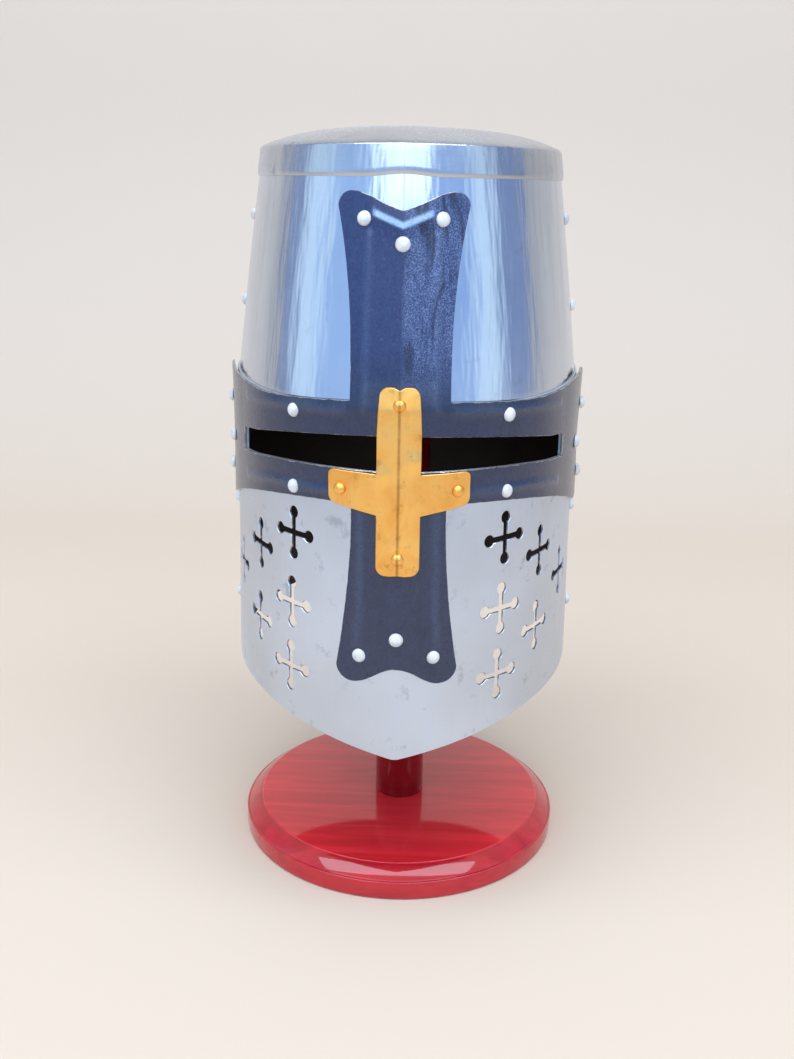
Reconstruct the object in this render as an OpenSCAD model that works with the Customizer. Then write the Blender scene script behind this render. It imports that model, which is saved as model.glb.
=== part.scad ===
// Great helm of riveted plates with a painted cross plate and a brass cross, on a turned wooden stand.
// Millimetres. The origin is the centre of the stand's underside, and the face of the helmet looks along -Y.

/* [Helmet plan] */
// Half of the width over the side plates
half_width = 102; // [98:1:108]
// Distance from the stand's axis to the keel at the front
front_reach = 125; // [120:1:130]
// Angle of the plate on each side of the keel
keel_turn = 12; // [9:1:15]
// Radius of the plate beside the keel
keel_radius = 118; // [110:2:130]
// Angle of the wall where the plate beside the keel meets the cheek
keel_end_turn = 30; // [28:1:32]
// Radius of the flat side
side_radius = 190; // [180:1:205]
// Angle of the wall where the cheek meets the flat side
cheek_end_turn = 62; // [60:1:64]

/* [Helmet heights] */
// Lowest point of the rim, at the keel
rim_tip_z = 106.7; // [100:0.1:112]
// Height of the rim at the sides
rim_side_z = 120.6; // [116:0.1:128]
// Height of the rim at the back
rim_back_z = 132; // [116:1:136]
// Distance from the keel over which the rim rises to its side height
rim_run = 76; // [65:1:85]
// Height at which the upper plates start to lean in
lean_z = 299; // [296:1:306]
// Flare of the lower plates towards the rim, as a slope
rim_flare = 0.012; // [0:0.002:0.02]
// Lean of the upper plates where it starts, as a slope
lean_slope = 0.11; // [0.08:0.005:0.13]
// Growth of the lean with height
lean_growth = 0.00014; // [0:0.00002:0.0004]
// Height of the sharp outer edge of the crown plate over the stand's axis
crown_edge_z = 422.3; // [418:0.1:428]
// Rise of that edge towards the front, as a slope
crown_tilt = 0.03; // [0:0.005:0.04]
// Rise of the crown plate's dome above its edge
crown_rise = 10.7; // [6:0.1:14]
// Depth of the crown plate's flange
flange_depth = 15.8; // [12:0.2:18]
// Rise of the flange's lower edge at the keel
flange_rise = 1.4; // [0:0.2:4]
// Depth of the bevel along the lower edge of that flange
flange_bevel = 3; // [2:0.5:5]

/* [Sheet] */
// Thickness of the steel and brass sheet
sheet_t = 1.2; // [1:0.1:1.6]
// Gap left between sheets that lie on each other
sheet_gap = 0.1; // [0.05:0.01:0.2]
// Overlap of the upper plates with the lower ones
brow_lap = 10; // [8:1:12]
// Angle of the wall where the front plates end, on each side
seam_turn = 90; // [89:1:92]
// Overlap of the back plates under the front ones, as an angle of the wall
seam_lap_turn = 8; // [7:1:9]

/* [Sights] */
// Top edge of the sights at the keel
sight_top_z = 286.2; // [284:0.1:288]
// Bottom edge of the sights at the keel
sight_bottom_z = 267.1; // [265:0.1:269]
// Fall of the top edge towards the ends of the sights
sight_top_fall = 14.3; // [12:0.1:16]
// Fall of the bottom edge towards the ends of the sights
sight_bottom_fall = 8.2; // [6:0.1:10]
// Angle of the wall at the outer ends of the sights
sight_end_turn = 68; // [64:1:69]
// Half width of the bar left between the two sights
sight_bar = 9.5; // [8:0.5:11]

/* [Cross plate] */
// Half width of the upper arm below its flared end
upper_arm_half = 25.6; // [24:0.2:28]
// Half width of the lower arm at the band
lower_arm_half = 24.6; // [23:0.2:27]
// Half width of the arms at their flared ends
arm_flare_half = 32.4; // [31:0.2:35]
// Highest point of the upper arm
upper_arm_z = 403; // [398:1:404]
// Lowest point of the lower arm
lower_arm_z = 150.2; // [147:0.1:154]
// Length of the curve that flares the upper arm
upper_flare = 65; // [50:1:75]
// Length of the curve that flares the lower arm
lower_flare = 82; // [65:1:84]
// Radius of the rounded points at the ends of the upper arm and of the band
lobe_r = 7; // [6:0.5:8]
// Radius of the rounded points at the end of the lower arm
lower_lobe_r = 8.5; // [7:0.5:10]
// Depth of the notch between the points of the upper arm
upper_notch = 8.8; // [6:0.2:10]
// Depth of the notch between the points of the lower arm
lower_notch = 10; // [6:0.2:12]
// Top edge of the band at the keel
band_top_z = 303.2; // [302:0.1:305]
// Bottom edge of the band at the keel
band_bottom_z = 249.2; // [247:0.1:251]
// Fall of the band's top edge from the keel to the cheeks
band_fall = 5.3; // [4:0.1:7]
// Highest point of the band's flared end
band_end_top_z = 301; // [299:0.5:302]
// Lowest point of the band's flared end
band_end_bottom_z = 222.5; // [219:0.5:226]
// Distance of the band's rounded points in front of the middle of the sides
band_end_in = 23; // [19:0.5:27]
// Distance by which the springy ends of the band stand off the face plate at its seams
band_spring = 3.2; // [0:0.1:4]

/* [Brass cross] */
// Half width of the upright
brass_half = 11.3; // [10:0.1:13]
// Top of the brass upright
brass_top_z = 310.2; // [307:0.1:312]
// Bottom of the brass upright
brass_bottom_z = 212.6; // [208:0.1:216]
// Half length of the brass bar
brass_reach = 36.5; // [34:0.5:38]
// Height of the brass bar where it leaves the upright
brass_bar_h = 21.7; // [20:0.1:24]
// Height of the brass bar at its ends
brass_bar_end_h = 18.3; // [16:0.1:21]
// Gap between the brass bar and the bottom edge of the sights
brass_drop = 0.9; // [0.5:0.1:3]
// Radius of the brass corners
brass_corner = 4.7; // [3:0.1:6]

/* [Rivets] */
// Width of the steel rivet heads
rivet_head_d = 7.6; // [7:0.2:9.4]
// Height of the steel rivet heads
rivet_head_h = 2.8; // [2.2:0.1:3.4]
// Thickness of the rivet shanks
rivet_shank_d = 4; // [3:0.2:4.6]
// Width of the brass rivet heads
brass_rivet_d = 6.8; // [6:0.2:8]
// Height of the peened tails inside the helmet
rivet_tail_h = 1.4; // [1:0.1:2]
// Distance of the rivets from the ends of the cross arms
arm_rivet_in = 13; // [12:0.5:15]
// Half of the distance between the two rivets in each flared end
arm_rivet_half = 19.1; // [18:0.1:21]
// Distance from the outer rivets to the single one nearer the middle of the cross
arm_rivet_step = 11.5; // [10.5:0.5:14]
// Angle of the wall at the rivets on the front of the band
band_rivet_turn = 42.2; // [40:0.2:44]
// Heights of those rivets, from below upwards
band_rivet_z = [251.8, 292.6];
// Angle of the wall at the side seam rivets
seam_rivet_turn = 85; // [84:0.5:86]
// Heights of the side seam rivets, from the rim upwards
seam_rivet_z = [152.5, 215, 336.5, 385.5];
// Number of rivets along the joint across the back
back_rivet_count = 5; // [3:1:7]

/* [Breaths] */
// Angles of the wall at the three upright rows of breath crosses
breath_turns = [43.2, 59.6, 71.5];
// Heights of the crosses in the row nearest the keel
breath_inner_z = [225.2, 185.2, 147];
// Heights of the crosses in the middle row
breath_middle_z = [210, 165.7];
// Height of the cross in the row nearest the ear
breath_outer_z = 187.8; // [182:0.1:194]
// Turn of the hand-laid rows towards the wearer's right for each millimetre down
breath_skew = 0.018; // [0:0.002:0.03]
// Length of each breath cross between the centres of its round ends
breath_span = 23; // [19:0.5:24]
// Width of the slots of a breath cross
breath_slot = 3.2; // [3:0.1:4.4]
// Width of the round ends of a breath cross
breath_end_d = 6.8; // [5.4:0.1:7]

/* [Liner] */
// Thickness of the leather
leather_t = 2.2; // [1.6:0.1:2.6]
// Height of the leather band
liner_band_h = 26; // [22:1:32]
// Number of leather tongues
tongue_count = 8; // [6:1:10]
// Half width of a tongue where it is sewn to the band, as an angle of the wall
tongue_half_turn = 17; // [12:1:17]
// Radius of the circle that the lace draws the tongues to
lace_circle_r = 36; // [32:1:40]
// Height of the lace
lace_z = 404; // [400:0.5:406]
// Thickness of the lace
lace_d = 3; // [2.4:0.2:3.6]

/* [Stand] */
// Width of the base
base_d = 200; // [180:2:210]
// Thickness of the base
base_t = 19; // [16:0.5:24]
// Height of the plain edge of the base
base_edge_h = 11.7; // [9:0.1:13]
// Width of the flat top of the base
base_top_d = 180; // [160:2:184]
// Depth of the two small steps of the base's moulding
base_step = 1.4; // [1:0.1:2]
// Width of the post
post_d = 31; // [27:1:36]
// Height of the underside of the head block
block_z = 338; // [325:1:345]
// Room between the head block and the plates at the sides
block_in = 36; // [34:1:46]
// Width of the tenons at both ends of the post
tenon_d = 20; // [16:1:23]
// Length of those tenons
tenon_l = 12; // [9:0.5:13]
// Thickness of the felt on the block
felt_t = 4; // [4:0.5:6]
// Thickness of the wood screws
screw_d = 5; // [4:0.5:6]
// Length of the wood screws
screw_l = 40; // [30:1:50]

/* [Hidden] */
$fn = 64;

// Room around shanks and tenons, and under what lifts off
shank_room = 0.15;
wood_room = 0.1;
lift_room = 0.3;
layer = sheet_t + sheet_gap;

// The plan is a chain of arcs, each named by its centre, and it is offset by changing the radii.
// The cheek's radius is what the half width leaves for it. A turn is the angle between the wall's
// outward direction and -Y, negative on the wearer's right.
function arc_step(r, a, b) = r * [sin(b) - sin(a), cos(a) - cos(b)];
cheek_start = [0, -front_reach] + arc_step(keel_radius, keel_turn, keel_end_turn);
cheek_radius = (half_width - cheek_start[0] - side_radius * (1 - sin(cheek_end_turn)))
    / (sin(cheek_end_turn) - sin(keel_end_turn));
side_start = cheek_start + arc_step(cheek_radius, keel_end_turn, cheek_end_turn);
side_y = side_start[1] + side_radius * cos(cheek_end_turn);
radii = [keel_radius, cheek_radius, side_radius, half_width];
centres = [
    [0, -front_reach] - keel_radius * [sin(keel_turn), -cos(keel_turn)],
    cheek_start - cheek_radius * [sin(keel_end_turn), -cos(keel_end_turn)],
    [half_width - side_radius, side_y],
    [0, side_y]
];
function arc_at(turn) = turn < keel_end_turn ? 0 : turn < cheek_end_turn ? 1 : turn < 90 ? 2 : 3;
function crease_turn(out) = asin(-centres[0][0] / (radii[0] + out));
function turn_at_x(x, out = 0) = sign(x) * asin((abs(x) - centres[0][0]) / (radii[0] + out));
function side_turn_at_y(y) = acos((side_y - y) / side_radius);
function plan(turn, out = 0) =
    let (
        t = max(abs(turn), crease_turn(out)),
        i = arc_at(t),
        p = centres[i] + (radii[i] + out) * [sin(t), -cos(t)])
    [turn == 0 ? 0 : sign(turn) * p[0], p[1]];

// How far the wall leans in at a height, and the angle of that lean. Below lean_z it flares outwards.
function lean(z) = z < lean_z
    ? rim_flare * (z - lean_z)
    : lean_slope * (z - lean_z) + lean_growth * pow(z - lean_z, 2);
function lean_angle(z) = z < lean_z ? atan(rim_flare) : atan(lean_slope + 2 * lean_growth * (z - lean_z));
function wall(turn, z, out = 0) = let (p = plan(turn, out - lean(z))) [p[0], p[1], z];

// Turns at which the sheets have their facets
function between(a, b, n) = [for (i = [1:n]) a + (b - a) * i / n];
function heights(a, b, n) = concat([a], between(a, b, n));
half_turns = concat(between(keel_turn, keel_end_turn, 5), between(keel_end_turn, cheek_end_turn, 12),
    between(cheek_end_turn, 90, 8), [91, 93], between(95, 180, 17));
all_turns = concat([for (i = [len(half_turns) - 2:-1:0]) -half_turns[i]], [0], half_turns);
function signed_turn(t) = t > 180 ? t - 360 : t;
function turns(a, b) = concat([a], [for (t = all_turns) if (t > a + 0.2 && t < b - 0.2) t], [b]);
function quad(a, b, c, d) = [[a, b, c], [a, c, d]];
function flatten(list) = [for (part = list) for (item = part) item];

// A sheet bent round the plan. Its columns stand at the turns in cols, rows(turn) gives the heights
// in a column, and inner(turn, z) and outer(turn, z) give its two faces as distances from the wall.
module sheet(cols, rows, inner, outer) {
    closed = cols[len(cols) - 1] - cols[0] > 359;
    m = len(rows(0));
    n = closed ? len(cols) - 1 : len(cols);
    face = function (f) [for (i = [0:n - 1]) for (z = rows(cols[i])) wall(cols[i], z, f(cols[i], z))];
    last = n - 1;
    o = function (i, j) (i % n) * m + j;
    v = function (i, j) n * m + (i % n) * m + j;
    bays = [0:closed ? n - 1 : n - 2];
    polyhedron(concat(face(outer), face(inner)), concat(
        flatten([for (i = bays, j = [0:m - 2]) quad(o(i, j), o(i, j + 1), o(i + 1, j + 1), o(i + 1, j))]),
        flatten([for (i = bays, j = [0:m - 2]) quad(v(i, j), v(i + 1, j), v(i + 1, j + 1), v(i, j + 1))]),
        flatten([for (i = bays) quad(o(i + 1, m - 1), o(i, m - 1), v(i, m - 1), v(i + 1, m - 1))]),
        flatten([for (i = bays) quad(o(i, 0), o(i + 1, 0), v(i + 1, 0), v(i, 0))]),
        closed ? [] : flatten([for (j = [0:m - 2]) quad(o(0, j + 1), o(0, j), v(0, j), v(0, j + 1))]),
        closed ? [] : flatten([for (j = [0:m - 2])
            quad(o(last, j), o(last, j + 1), v(last, j + 1), v(last, j))])
    ));
}
function level(d) = function (turn, z) d;

// Places children along the straight line out of the wall at a turn and a height, with Z pointing out
module on_wall(turn, z, out = 0) {
    translate(wall(turn, z)) rotate([90 - lean_angle(z), 0, turn])
        translate([0, 0, out * cos(lean_angle(z))]) children();
}

// Outer faces of the layers, as distances from the wall
lower_front_out = 0;
upper_front_out = -layer;
lower_back_out = -layer;
upper_back_out = -2 * layer;
liner_out = -3 * layer;
liner_in = liner_out - leather_t;
brow_z = lean_z - 0.3;

// The upper arm of the cross plate steps in above the brow, because the upper front plate lies inside
// the lower one. All leaning sheets have facets at the same heights, so the gaps between them stay even.
step_end_z = brow_z + 14;
lean_rows = concat([lean_z], heights(step_end_z, crown_edge_z - flange_depth, 4));
function leaning(a, b) = concat([a], [for (z = lean_rows) if (z > a + 0.1 && z < b - 0.1) z], [b]);
function arm_step(z) = layer * (1 - min(1, max(0, (z - brow_z) / (step_end_z - brow_z))));
function cross_in(z) = upper_front_out + arm_step(z) + sheet_gap;
function brass_in(z) = cross_in(z) + layer;

// The ends of the band run straighter than the side, so they stand off it, the more so at the top
spring_turn = 69;
spring_z = 262;
low_spring = 0.5;
function spring(turn, z) = band_spring * max(0, (abs(turn) - spring_turn) / (seam_turn - spring_turn))
    * (low_spring + (1 - low_spring) * min(1, max(0, (z - spring_z) / (brow_z - spring_z))));

// Edges of the plates
flange_rise_run = 26;
function crown_edge(turn) = crown_edge_z - crown_tilt * plan(turn, -lean(crown_edge_z))[1];
function flange_edge(turn) = crown_edge(turn) - flange_depth
    + flange_rise * (1 + cos(180 * min(1, abs(plan(turn)[0]) / flange_rise_run))) / 2;
function upper_edge(turn) = crown_edge(turn) - sheet_t - sheet_gap;
band_end_y = side_y - band_end_in;
function rim_z(turn) = abs(turn) > 90
    ? rim_side_z + (rim_back_z - rim_side_z) * (plan(turn)[1] - side_y) / half_width
    : rim_tip_z + (rim_side_z - rim_tip_z) * min(1, plan(turn)[0] * sign(turn) / rim_run);
function sight_share(turn) = min(1, abs(turn) / sight_end_turn);
function sight_top(turn) = sight_top_z - sight_top_fall * pow(sight_share(turn), 2);
function sight_bottom(turn) = sight_bottom_z - sight_bottom_fall * pow(sight_share(turn), 3);
function upper_front_bottom(turn) = max(brow_z - brow_lap, sight_top(turn) + 1);

// Rivets: each list holds [turn, height] pairs
function pair(turn, z) = [[-turn, z], [turn, z]];
function arm_rivets_at(z, up) = concat(
    pair(turn_at_x(arm_rivet_half, -lean(z)), z),
    [[0, z + up * arm_rivet_step]]);
upper_arm_rivets_at = arm_rivets_at(upper_arm_z - arm_rivet_in, -1);
lower_arm_rivets_at = arm_rivets_at(lower_arm_z + arm_rivet_in + 2.8, 1);
band_low_rivets_at = pair(band_rivet_turn, band_rivet_z[0]);
band_high_rivets_at = pair(band_rivet_turn, band_rivet_z[1]);
band_end_z = (band_end_top_z + band_end_bottom_z) / 2 - 2;
band_end_rivets_at = concat(
    pair(side_turn_at_y(band_end_y), band_end_top_z - 3 * lobe_r),
    pair(side_turn_at_y(band_end_y), band_end_bottom_z + 2 * lobe_r + 2),
    pair(side_turn_at_y(band_end_y - 17), band_end_z));
low_seam_rivets_at = flatten([for (i = [0, 1]) pair(seam_rivet_turn, seam_rivet_z[i])]);
high_seam_rivets_at = flatten([for (i = [2, 3]) pair(seam_rivet_turn, seam_rivet_z[i])]);
brass_bar_top = sight_bottom_z - brass_drop;
brass_bar_rivet = [turn_at_x(brass_reach - 7.5, layer), brass_bar_top - brass_bar_end_h / 2 - 0.6];
brass_cross_rivets_at = concat([[0, brass_bottom_z + 9.5]], pair(brass_bar_rivet[0], brass_bar_rivet[1]));
brass_top_rivet_at = [[0, brass_top_z - 8.7]];
back_rivet_step = 38;
back_rivets_at = [for (i = [0:back_rivet_count - 1])
    let (t = 180 + (i - (back_rivet_count - 1) / 2) * back_rivet_step * 4 / max(4, back_rivet_count - 1))
    [signed_turn(t), brow_z - brow_lap / 2]];

module holes(places, d = rivet_shank_d) {
    for (p = places) on_wall(p[0], p[1]) cylinder(d = d + 2 * shank_room, h = 30, center = true);
}

// A domed head, a shank and a peened tail, on Z = 0 at the outer face of the plates that it holds
module rivet(grip, d = rivet_head_d, h = rivet_head_h) {
    dome_r = (d * d / 4 + h * h) / (2 * h);
    edge = asin((dome_r - h) / dome_r);
    lift = sheet_gap;
    tail = -grip - lift;
    rotate_extrude($fn = 32) polygon(concat(
        [[0, tail - rivet_tail_h], [0.65 * tail_r, tail - rivet_tail_h], [tail_r, tail]],
        [[rivet_shank_d / 2, tail], [rivet_shank_d / 2, lift]],
        [for (i = [0:5]) lift * [0, 1] + [0, h - dome_r] + dome_r * [cos(edge + (90 - edge) * i / 6),
            sin(edge + (90 - edge) * i / 6)]],
        [[0, lift + h]]));
}
tail_r = 0.85 * rivet_shank_d;
keel_hollow = tail_r * tan(keel_turn);
module rivets(places, out, grip, d = rivet_head_d, h = rivet_head_h) {
    for (p = places) on_wall(p[0], p[1], out) rivet(grip + (p[0] == 0 ? keel_hollow : 0), d, h);
}

// Outlines of the cross plate. The arms are drawn as seen from the front, the band from the side.
function turned(c, r, a, b, n) = [for (i = [0:n]) let (t = a + (b - a) * i / n) c + r * [cos(t), sin(t)]];
function mirrored(points) = concat(points, [for (i = [len(points) - 1:-1:0]) [-points[i][0], points[i][1]]]);
function flare(from, to, share) = from + (to - from) * pow(share, 1.75);

module arm_outline(half, tip_z, flare_l, r, notch, blunt) {
    up = tip_z > band_top_z ? 1 : -1;
    lobe = [arm_flare_half - r, tip_z - up * r];
    root = (band_top_z + band_bottom_z) / 2;
    polygon(mirrored(concat(
        [[half, root]],
        [for (i = [0:6]) [flare(half, arm_flare_half, i / 6), lobe[1] - up * flare_l * (1 - i / 6)]],
        turned(lobe, r, 10 * up, 90 * up, 5),
        [for (i = [1:6]) let (sharp = pow(i / 6, 1.3), round = (1 - cos(30 * i)) / 2)
            [lobe[0] * (1 - i / 6), tip_z - up * notch * (sharp + (round - sharp) * blunt)]])));
}

module band_outline() {
    front_y = -front_reach - 20;
    cheek_y = -0.56 * front_reach;
    neck_y = band_end_y - 54;
    top = [band_end_y, band_end_top_z - lobe_r];
    bottom = [band_end_y, band_end_bottom_z + lobe_r];
    polygon(concat(
        [[front_y, band_top_z]],
        [for (i = [0:6])
            [cheek_y - (front_reach + cheek_y) * (1 - i / 6), band_top_z - band_fall * sin(15 * i)]],
        [[neck_y, band_top_z - band_fall]],
        turned(top, lobe_r, 100, -60, 8),
        [[band_end_y - lobe_r, band_end_z + 1.5], [band_end_y - lobe_r, band_end_z - 1.5]],
        turned(bottom, lobe_r, 60, -100, 8),
        [for (i = [7:-1:0]) [(band_end_y - 10 + front_reach) * i / 8 - front_reach,
            band_bottom_z - (band_bottom_z - band_end_bottom_z) * pow(i / 8, 1.55)]],
        [[front_y, band_bottom_z]]));
}

// The brass cross narrows to its top, its bar narrows from below, and both ends of the upright are notched
module brass_outline() {
    r = brass_corner;
    notch = 1.4;
    top_half = brass_half - 1;
    outer_low = brass_bar_top - brass_bar_end_h;
    polygon(mirrored(concat(
        [[0, brass_bottom_z + notch / 2], [brass_half / 3, brass_bottom_z]],
        turned([brass_half - r, brass_bottom_z + r], r, -90, 0, 5),
        [[brass_half, brass_bar_top - brass_bar_h]],
        turned([brass_reach - r, outer_low + r], r, -90, 0, 5),
        turned([brass_reach - 0.6 * r, brass_bar_top - 0.6 * r], 0.6 * r, 0, 90, 4),
        [[brass_half, brass_bar_top], [brass_half, brass_top_z - 22]],
        turned([top_half - r, brass_top_z - r], r, 5, 90, 4),
        [[brass_half / 4, brass_top_z], [0, brass_top_z - notch]])));
}

// Cutters
module sights() {
    for (side = [-1, 1]) {
        inside = turn_at_x(sight_bar);
        cols = side > 0 ? turns(inside, sight_end_turn) : turns(-sight_end_turn, -inside);
        sheet(cols, function (t) [sight_bottom(t), sight_top(t)], level(-8), level(8));
    }
}
module breath_cross() {
    linear_extrude(30, center = true) {
        square([breath_slot, breath_span], center = true);
        square([breath_span, breath_slot], center = true);
        for (k = [0:3]) rotate(90 * k) translate([breath_span / 2, 0]) circle(d = breath_end_d, $fn = 24);
    }
}
module breaths() {
    rows = [breath_inner_z, breath_middle_z, [breath_outer_z]];
    for (side = [-1, 1], i = [0:2], z = rows[i])
        on_wall(side * breath_turns[i] - (breath_inner_z[0] - z) * breath_skew, z) breath_cross();
}

module crown_plate() color("lightsteelblue") {
    cols = all_turns;
    n = len(cols);
    seat = function (t) sheet_gap + (abs(t) <= 91 ? upper_front_out : upper_back_out);
    below_edge = function (down, out) [for (t = cols) wall(t, crown_edge(t) - down, seat(t) + out)];
    above_end = function (up, out) [for (t = cols) wall(t, flange_edge(t) + up, seat(t) + out)];
    dome = function (down, out, share) [for (t = cols)
        let (p = wall(t, crown_edge(t), seat(t) + out), rise = crown_rise * (1 - pow(share, 3.5)))
        [p[0] * share, p[1] * share, crown_edge_z + (crown_edge(t) - crown_edge_z) * share + rise - down]];
    shares = [0.93, 0.84, 0.7, 0.5, 0.25];
    rings = concat(
        [above_end(0, 0.3), above_end(flange_bevel, sheet_t), below_edge(1, sheet_t)],
        [dome(0, sheet_t, 0.993)],
        [for (s = shares) dome(0, sheet_t, s)]);
    under = concat(
        [for (i = [len(shares) - 1:-1:0]) dome(sheet_t, 0, shares[i])],
        [below_edge(sheet_t, 0), above_end(0, 0)]);
    m = len(rings);
    k = len(under);
    top = [0, 0, crown_edge_z + crown_rise];
    at = function (i, j) j * n + i % n;
    ring_pair = function (i, a, b) quad(at(i, a), at(i, b), at(i + 1, b), at(i + 1, a));
    polyhedron(concat(flatten(rings), flatten(under), [top, top - [0, 0, sheet_t]]), concat(
        flatten([for (j = [0:m - 2], i = [0:n - 1]) ring_pair(i, j, j + 1)]),
        [for (i = [0:n - 1]) [at(i, m - 1), (m + k) * n, at(i + 1, m - 1)]],
        [for (i = [0:n - 1]) [(m + k) * n + 1, at(i, m), at(i + 1, m)]],
        flatten([for (j = [m:m + k - 2], i = [0:n - 1]) ring_pair(i, j, j + 1)]),
        flatten([for (i = [0:n - 1]) ring_pair(i, m + k - 1, 0)])));
}

module upper_front_plate() color("silver") difference() {
    sheet(turns(-seam_turn, seam_turn), function (t) leaning(upper_front_bottom(t), upper_edge(t)),
        level(upper_front_out - sheet_t), level(upper_front_out));
    holes(upper_arm_rivets_at);
    holes(band_high_rivets_at);
    holes(high_seam_rivets_at);
    holes(brass_top_rivet_at);
}

module back_half(rows, out) {
    start = seam_turn - seam_lap_turn;
    cols = concat([start], [for (t = half_turns) if (t > start + 0.2) t]);
    around = concat(cols, [for (i = [len(cols) - 2:-1:0]) 360 - cols[i]]);
    m = len(rows(180));
    n = len(around);
    last = n - 1;
    pts = function (d) [for (t = around) for (z = rows(signed_turn(t))) wall(signed_turn(t), z, d)];
    o = function (i, j) i * m + j;
    v = function (i, j) (n + i) * m + j;
    polyhedron(concat(pts(out), pts(out - sheet_t)), concat(
        flatten([for (i = [0:n - 2], j = [0:m - 2])
            quad(o(i, j), o(i, j + 1), o(i + 1, j + 1), o(i + 1, j))]),
        flatten([for (i = [0:n - 2], j = [0:m - 2])
            quad(v(i, j), v(i + 1, j), v(i + 1, j + 1), v(i, j + 1))]),
        flatten([for (i = [0:n - 2]) quad(o(i + 1, m - 1), o(i, m - 1), v(i, m - 1), v(i + 1, m - 1))]),
        flatten([for (i = [0:n - 2]) quad(o(i, 0), o(i + 1, 0), v(i + 1, 0), v(i, 0))]),
        flatten([for (j = [0:m - 2]) quad(o(0, j + 1), o(0, j), v(0, j), v(0, j + 1))]),
        flatten([for (j = [0:m - 2]) quad(o(last, j), o(last, j + 1), v(last, j + 1), v(last, j))])));
}

module upper_back_plate() color("silver") difference() {
    back_half(function (t) leaning(brow_z - brow_lap - 4, upper_edge(t)), upper_back_out);
    holes(high_seam_rivets_at);
    holes(back_rivets_at);
}

module lower_front_plate() color("gray") difference() {
    sheet(turns(-seam_turn, seam_turn), function (t) [rim_z(t), brow_z],
        level(lower_front_out - sheet_t), level(lower_front_out));
    sights();
    breaths();
    holes(lower_arm_rivets_at);
    holes(band_low_rivets_at);
    holes(band_high_rivets_at);
    holes(band_end_rivets_at);
    holes(low_seam_rivets_at);
    holes(brass_cross_rivets_at);
    holes(brass_top_rivet_at);
}

module lower_back_plate() color("gray") difference() {
    back_half(function (t) [rim_z(t), abs(t) <= seam_turn + 1 ? brow_z - brow_lap - 2 * sheet_gap : brow_z],
        lower_back_out);
    holes(band_end_rivets_at);
    holes(low_seam_rivets_at);
    holes(back_rivets_at);
}

module cross_plate() color("darkslateblue") difference() {
    intersection() {
        sheet(turns(-seam_turn, seam_turn),
            function (t) concat([lower_arm_z - 1, spring_z], leaning(brow_z, upper_arm_z + 1)),
            function (t, z) cross_in(z) + spring(t, z), function (t, z) cross_in(z) + spring(t, z) + sheet_t);
        union() {
            rotate([90, 0, 0]) linear_extrude(front_reach + 20) {
                arm_outline(upper_arm_half, upper_arm_z, upper_flare, lobe_r, upper_notch, 0.5);
                arm_outline(lower_arm_half, lower_arm_z, lower_flare, lower_lobe_r, lower_notch, 1);
            }
            translate([-half_width - 20, 0, 0]) rotate([90, 0, 90])
                linear_extrude(2 * half_width + 40) band_outline();
        }
    }
    sights();
    holes(upper_arm_rivets_at);
    holes(lower_arm_rivets_at);
    holes(band_low_rivets_at);
    holes(band_high_rivets_at);
    holes(band_end_rivets_at);
    holes(brass_cross_rivets_at);
    holes(brass_top_rivet_at);
}

module brass_cross() color("goldenrod") difference() {
    intersection() {
        sheet(turns(turn_at_x(-brass_reach - 2), turn_at_x(brass_reach + 2)),
            function (t) concat([brass_bottom_z - 1], leaning(brow_z, brass_top_z + 1)),
            function (t, z) brass_in(z), function (t, z) brass_in(z) + sheet_t);
        rotate([90, 0, 0]) linear_extrude(front_reach + 20) brass_outline();
    }
    holes(brass_cross_rivets_at);
    holes(brass_top_rivet_at);
}

module brass_rivets() color("darkgoldenrod") {
    top = brass_in(brass_top_rivet_at[0][1]) + sheet_t;
    rivets(brass_cross_rivets_at, 2 * layer, 3 * layer - sheet_gap, brass_rivet_d);
    rivets(brass_top_rivet_at, top, top - upper_front_out + sheet_t, brass_rivet_d);
}
module upper_arm_rivets() color("whitesmoke") rivets(upper_arm_rivets_at, 0, 2 * layer);
module lower_arm_rivets() color("whitesmoke") rivets(lower_arm_rivets_at, layer, 2 * layer);
module band_rivets() color("whitesmoke") {
    rivets(band_low_rivets_at, layer, 2 * layer);
    rivets(band_high_rivets_at, layer, layer - liner_in);
}
module band_end_rivets() color("whitesmoke") {
    for (p = band_end_rivets_at) {
        off = spring(p[0], p[1]) + sheet_gap;
        rivets([p], layer + off, 3 * layer + off);
    }
}
module side_seam_rivets() color("whitesmoke") {
    rivets(low_seam_rivets_at, lower_front_out, 2 * layer);
    rivets(high_seam_rivets_at, upper_front_out, 2 * layer);
}
module back_joint_rivets() color("whitesmoke")
    rivets(back_rivets_at, lower_back_out, lower_back_out - liner_in);

// The leather band starts just above the sights. The tongues are sewn inside it and rise to the lace.
liner_z = sight_top_z + 2;
module liner_band() color("saddlebrown") difference() {
    sheet(concat([-180], all_turns), function (t) leaning(liner_z, liner_z + liner_band_h),
        level(liner_in), level(liner_out));
    holes(band_high_rivets_at);
    holes(back_rivets_at);
    holes(brass_top_rivet_at, 2 * tail_r + 1);
}

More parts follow.
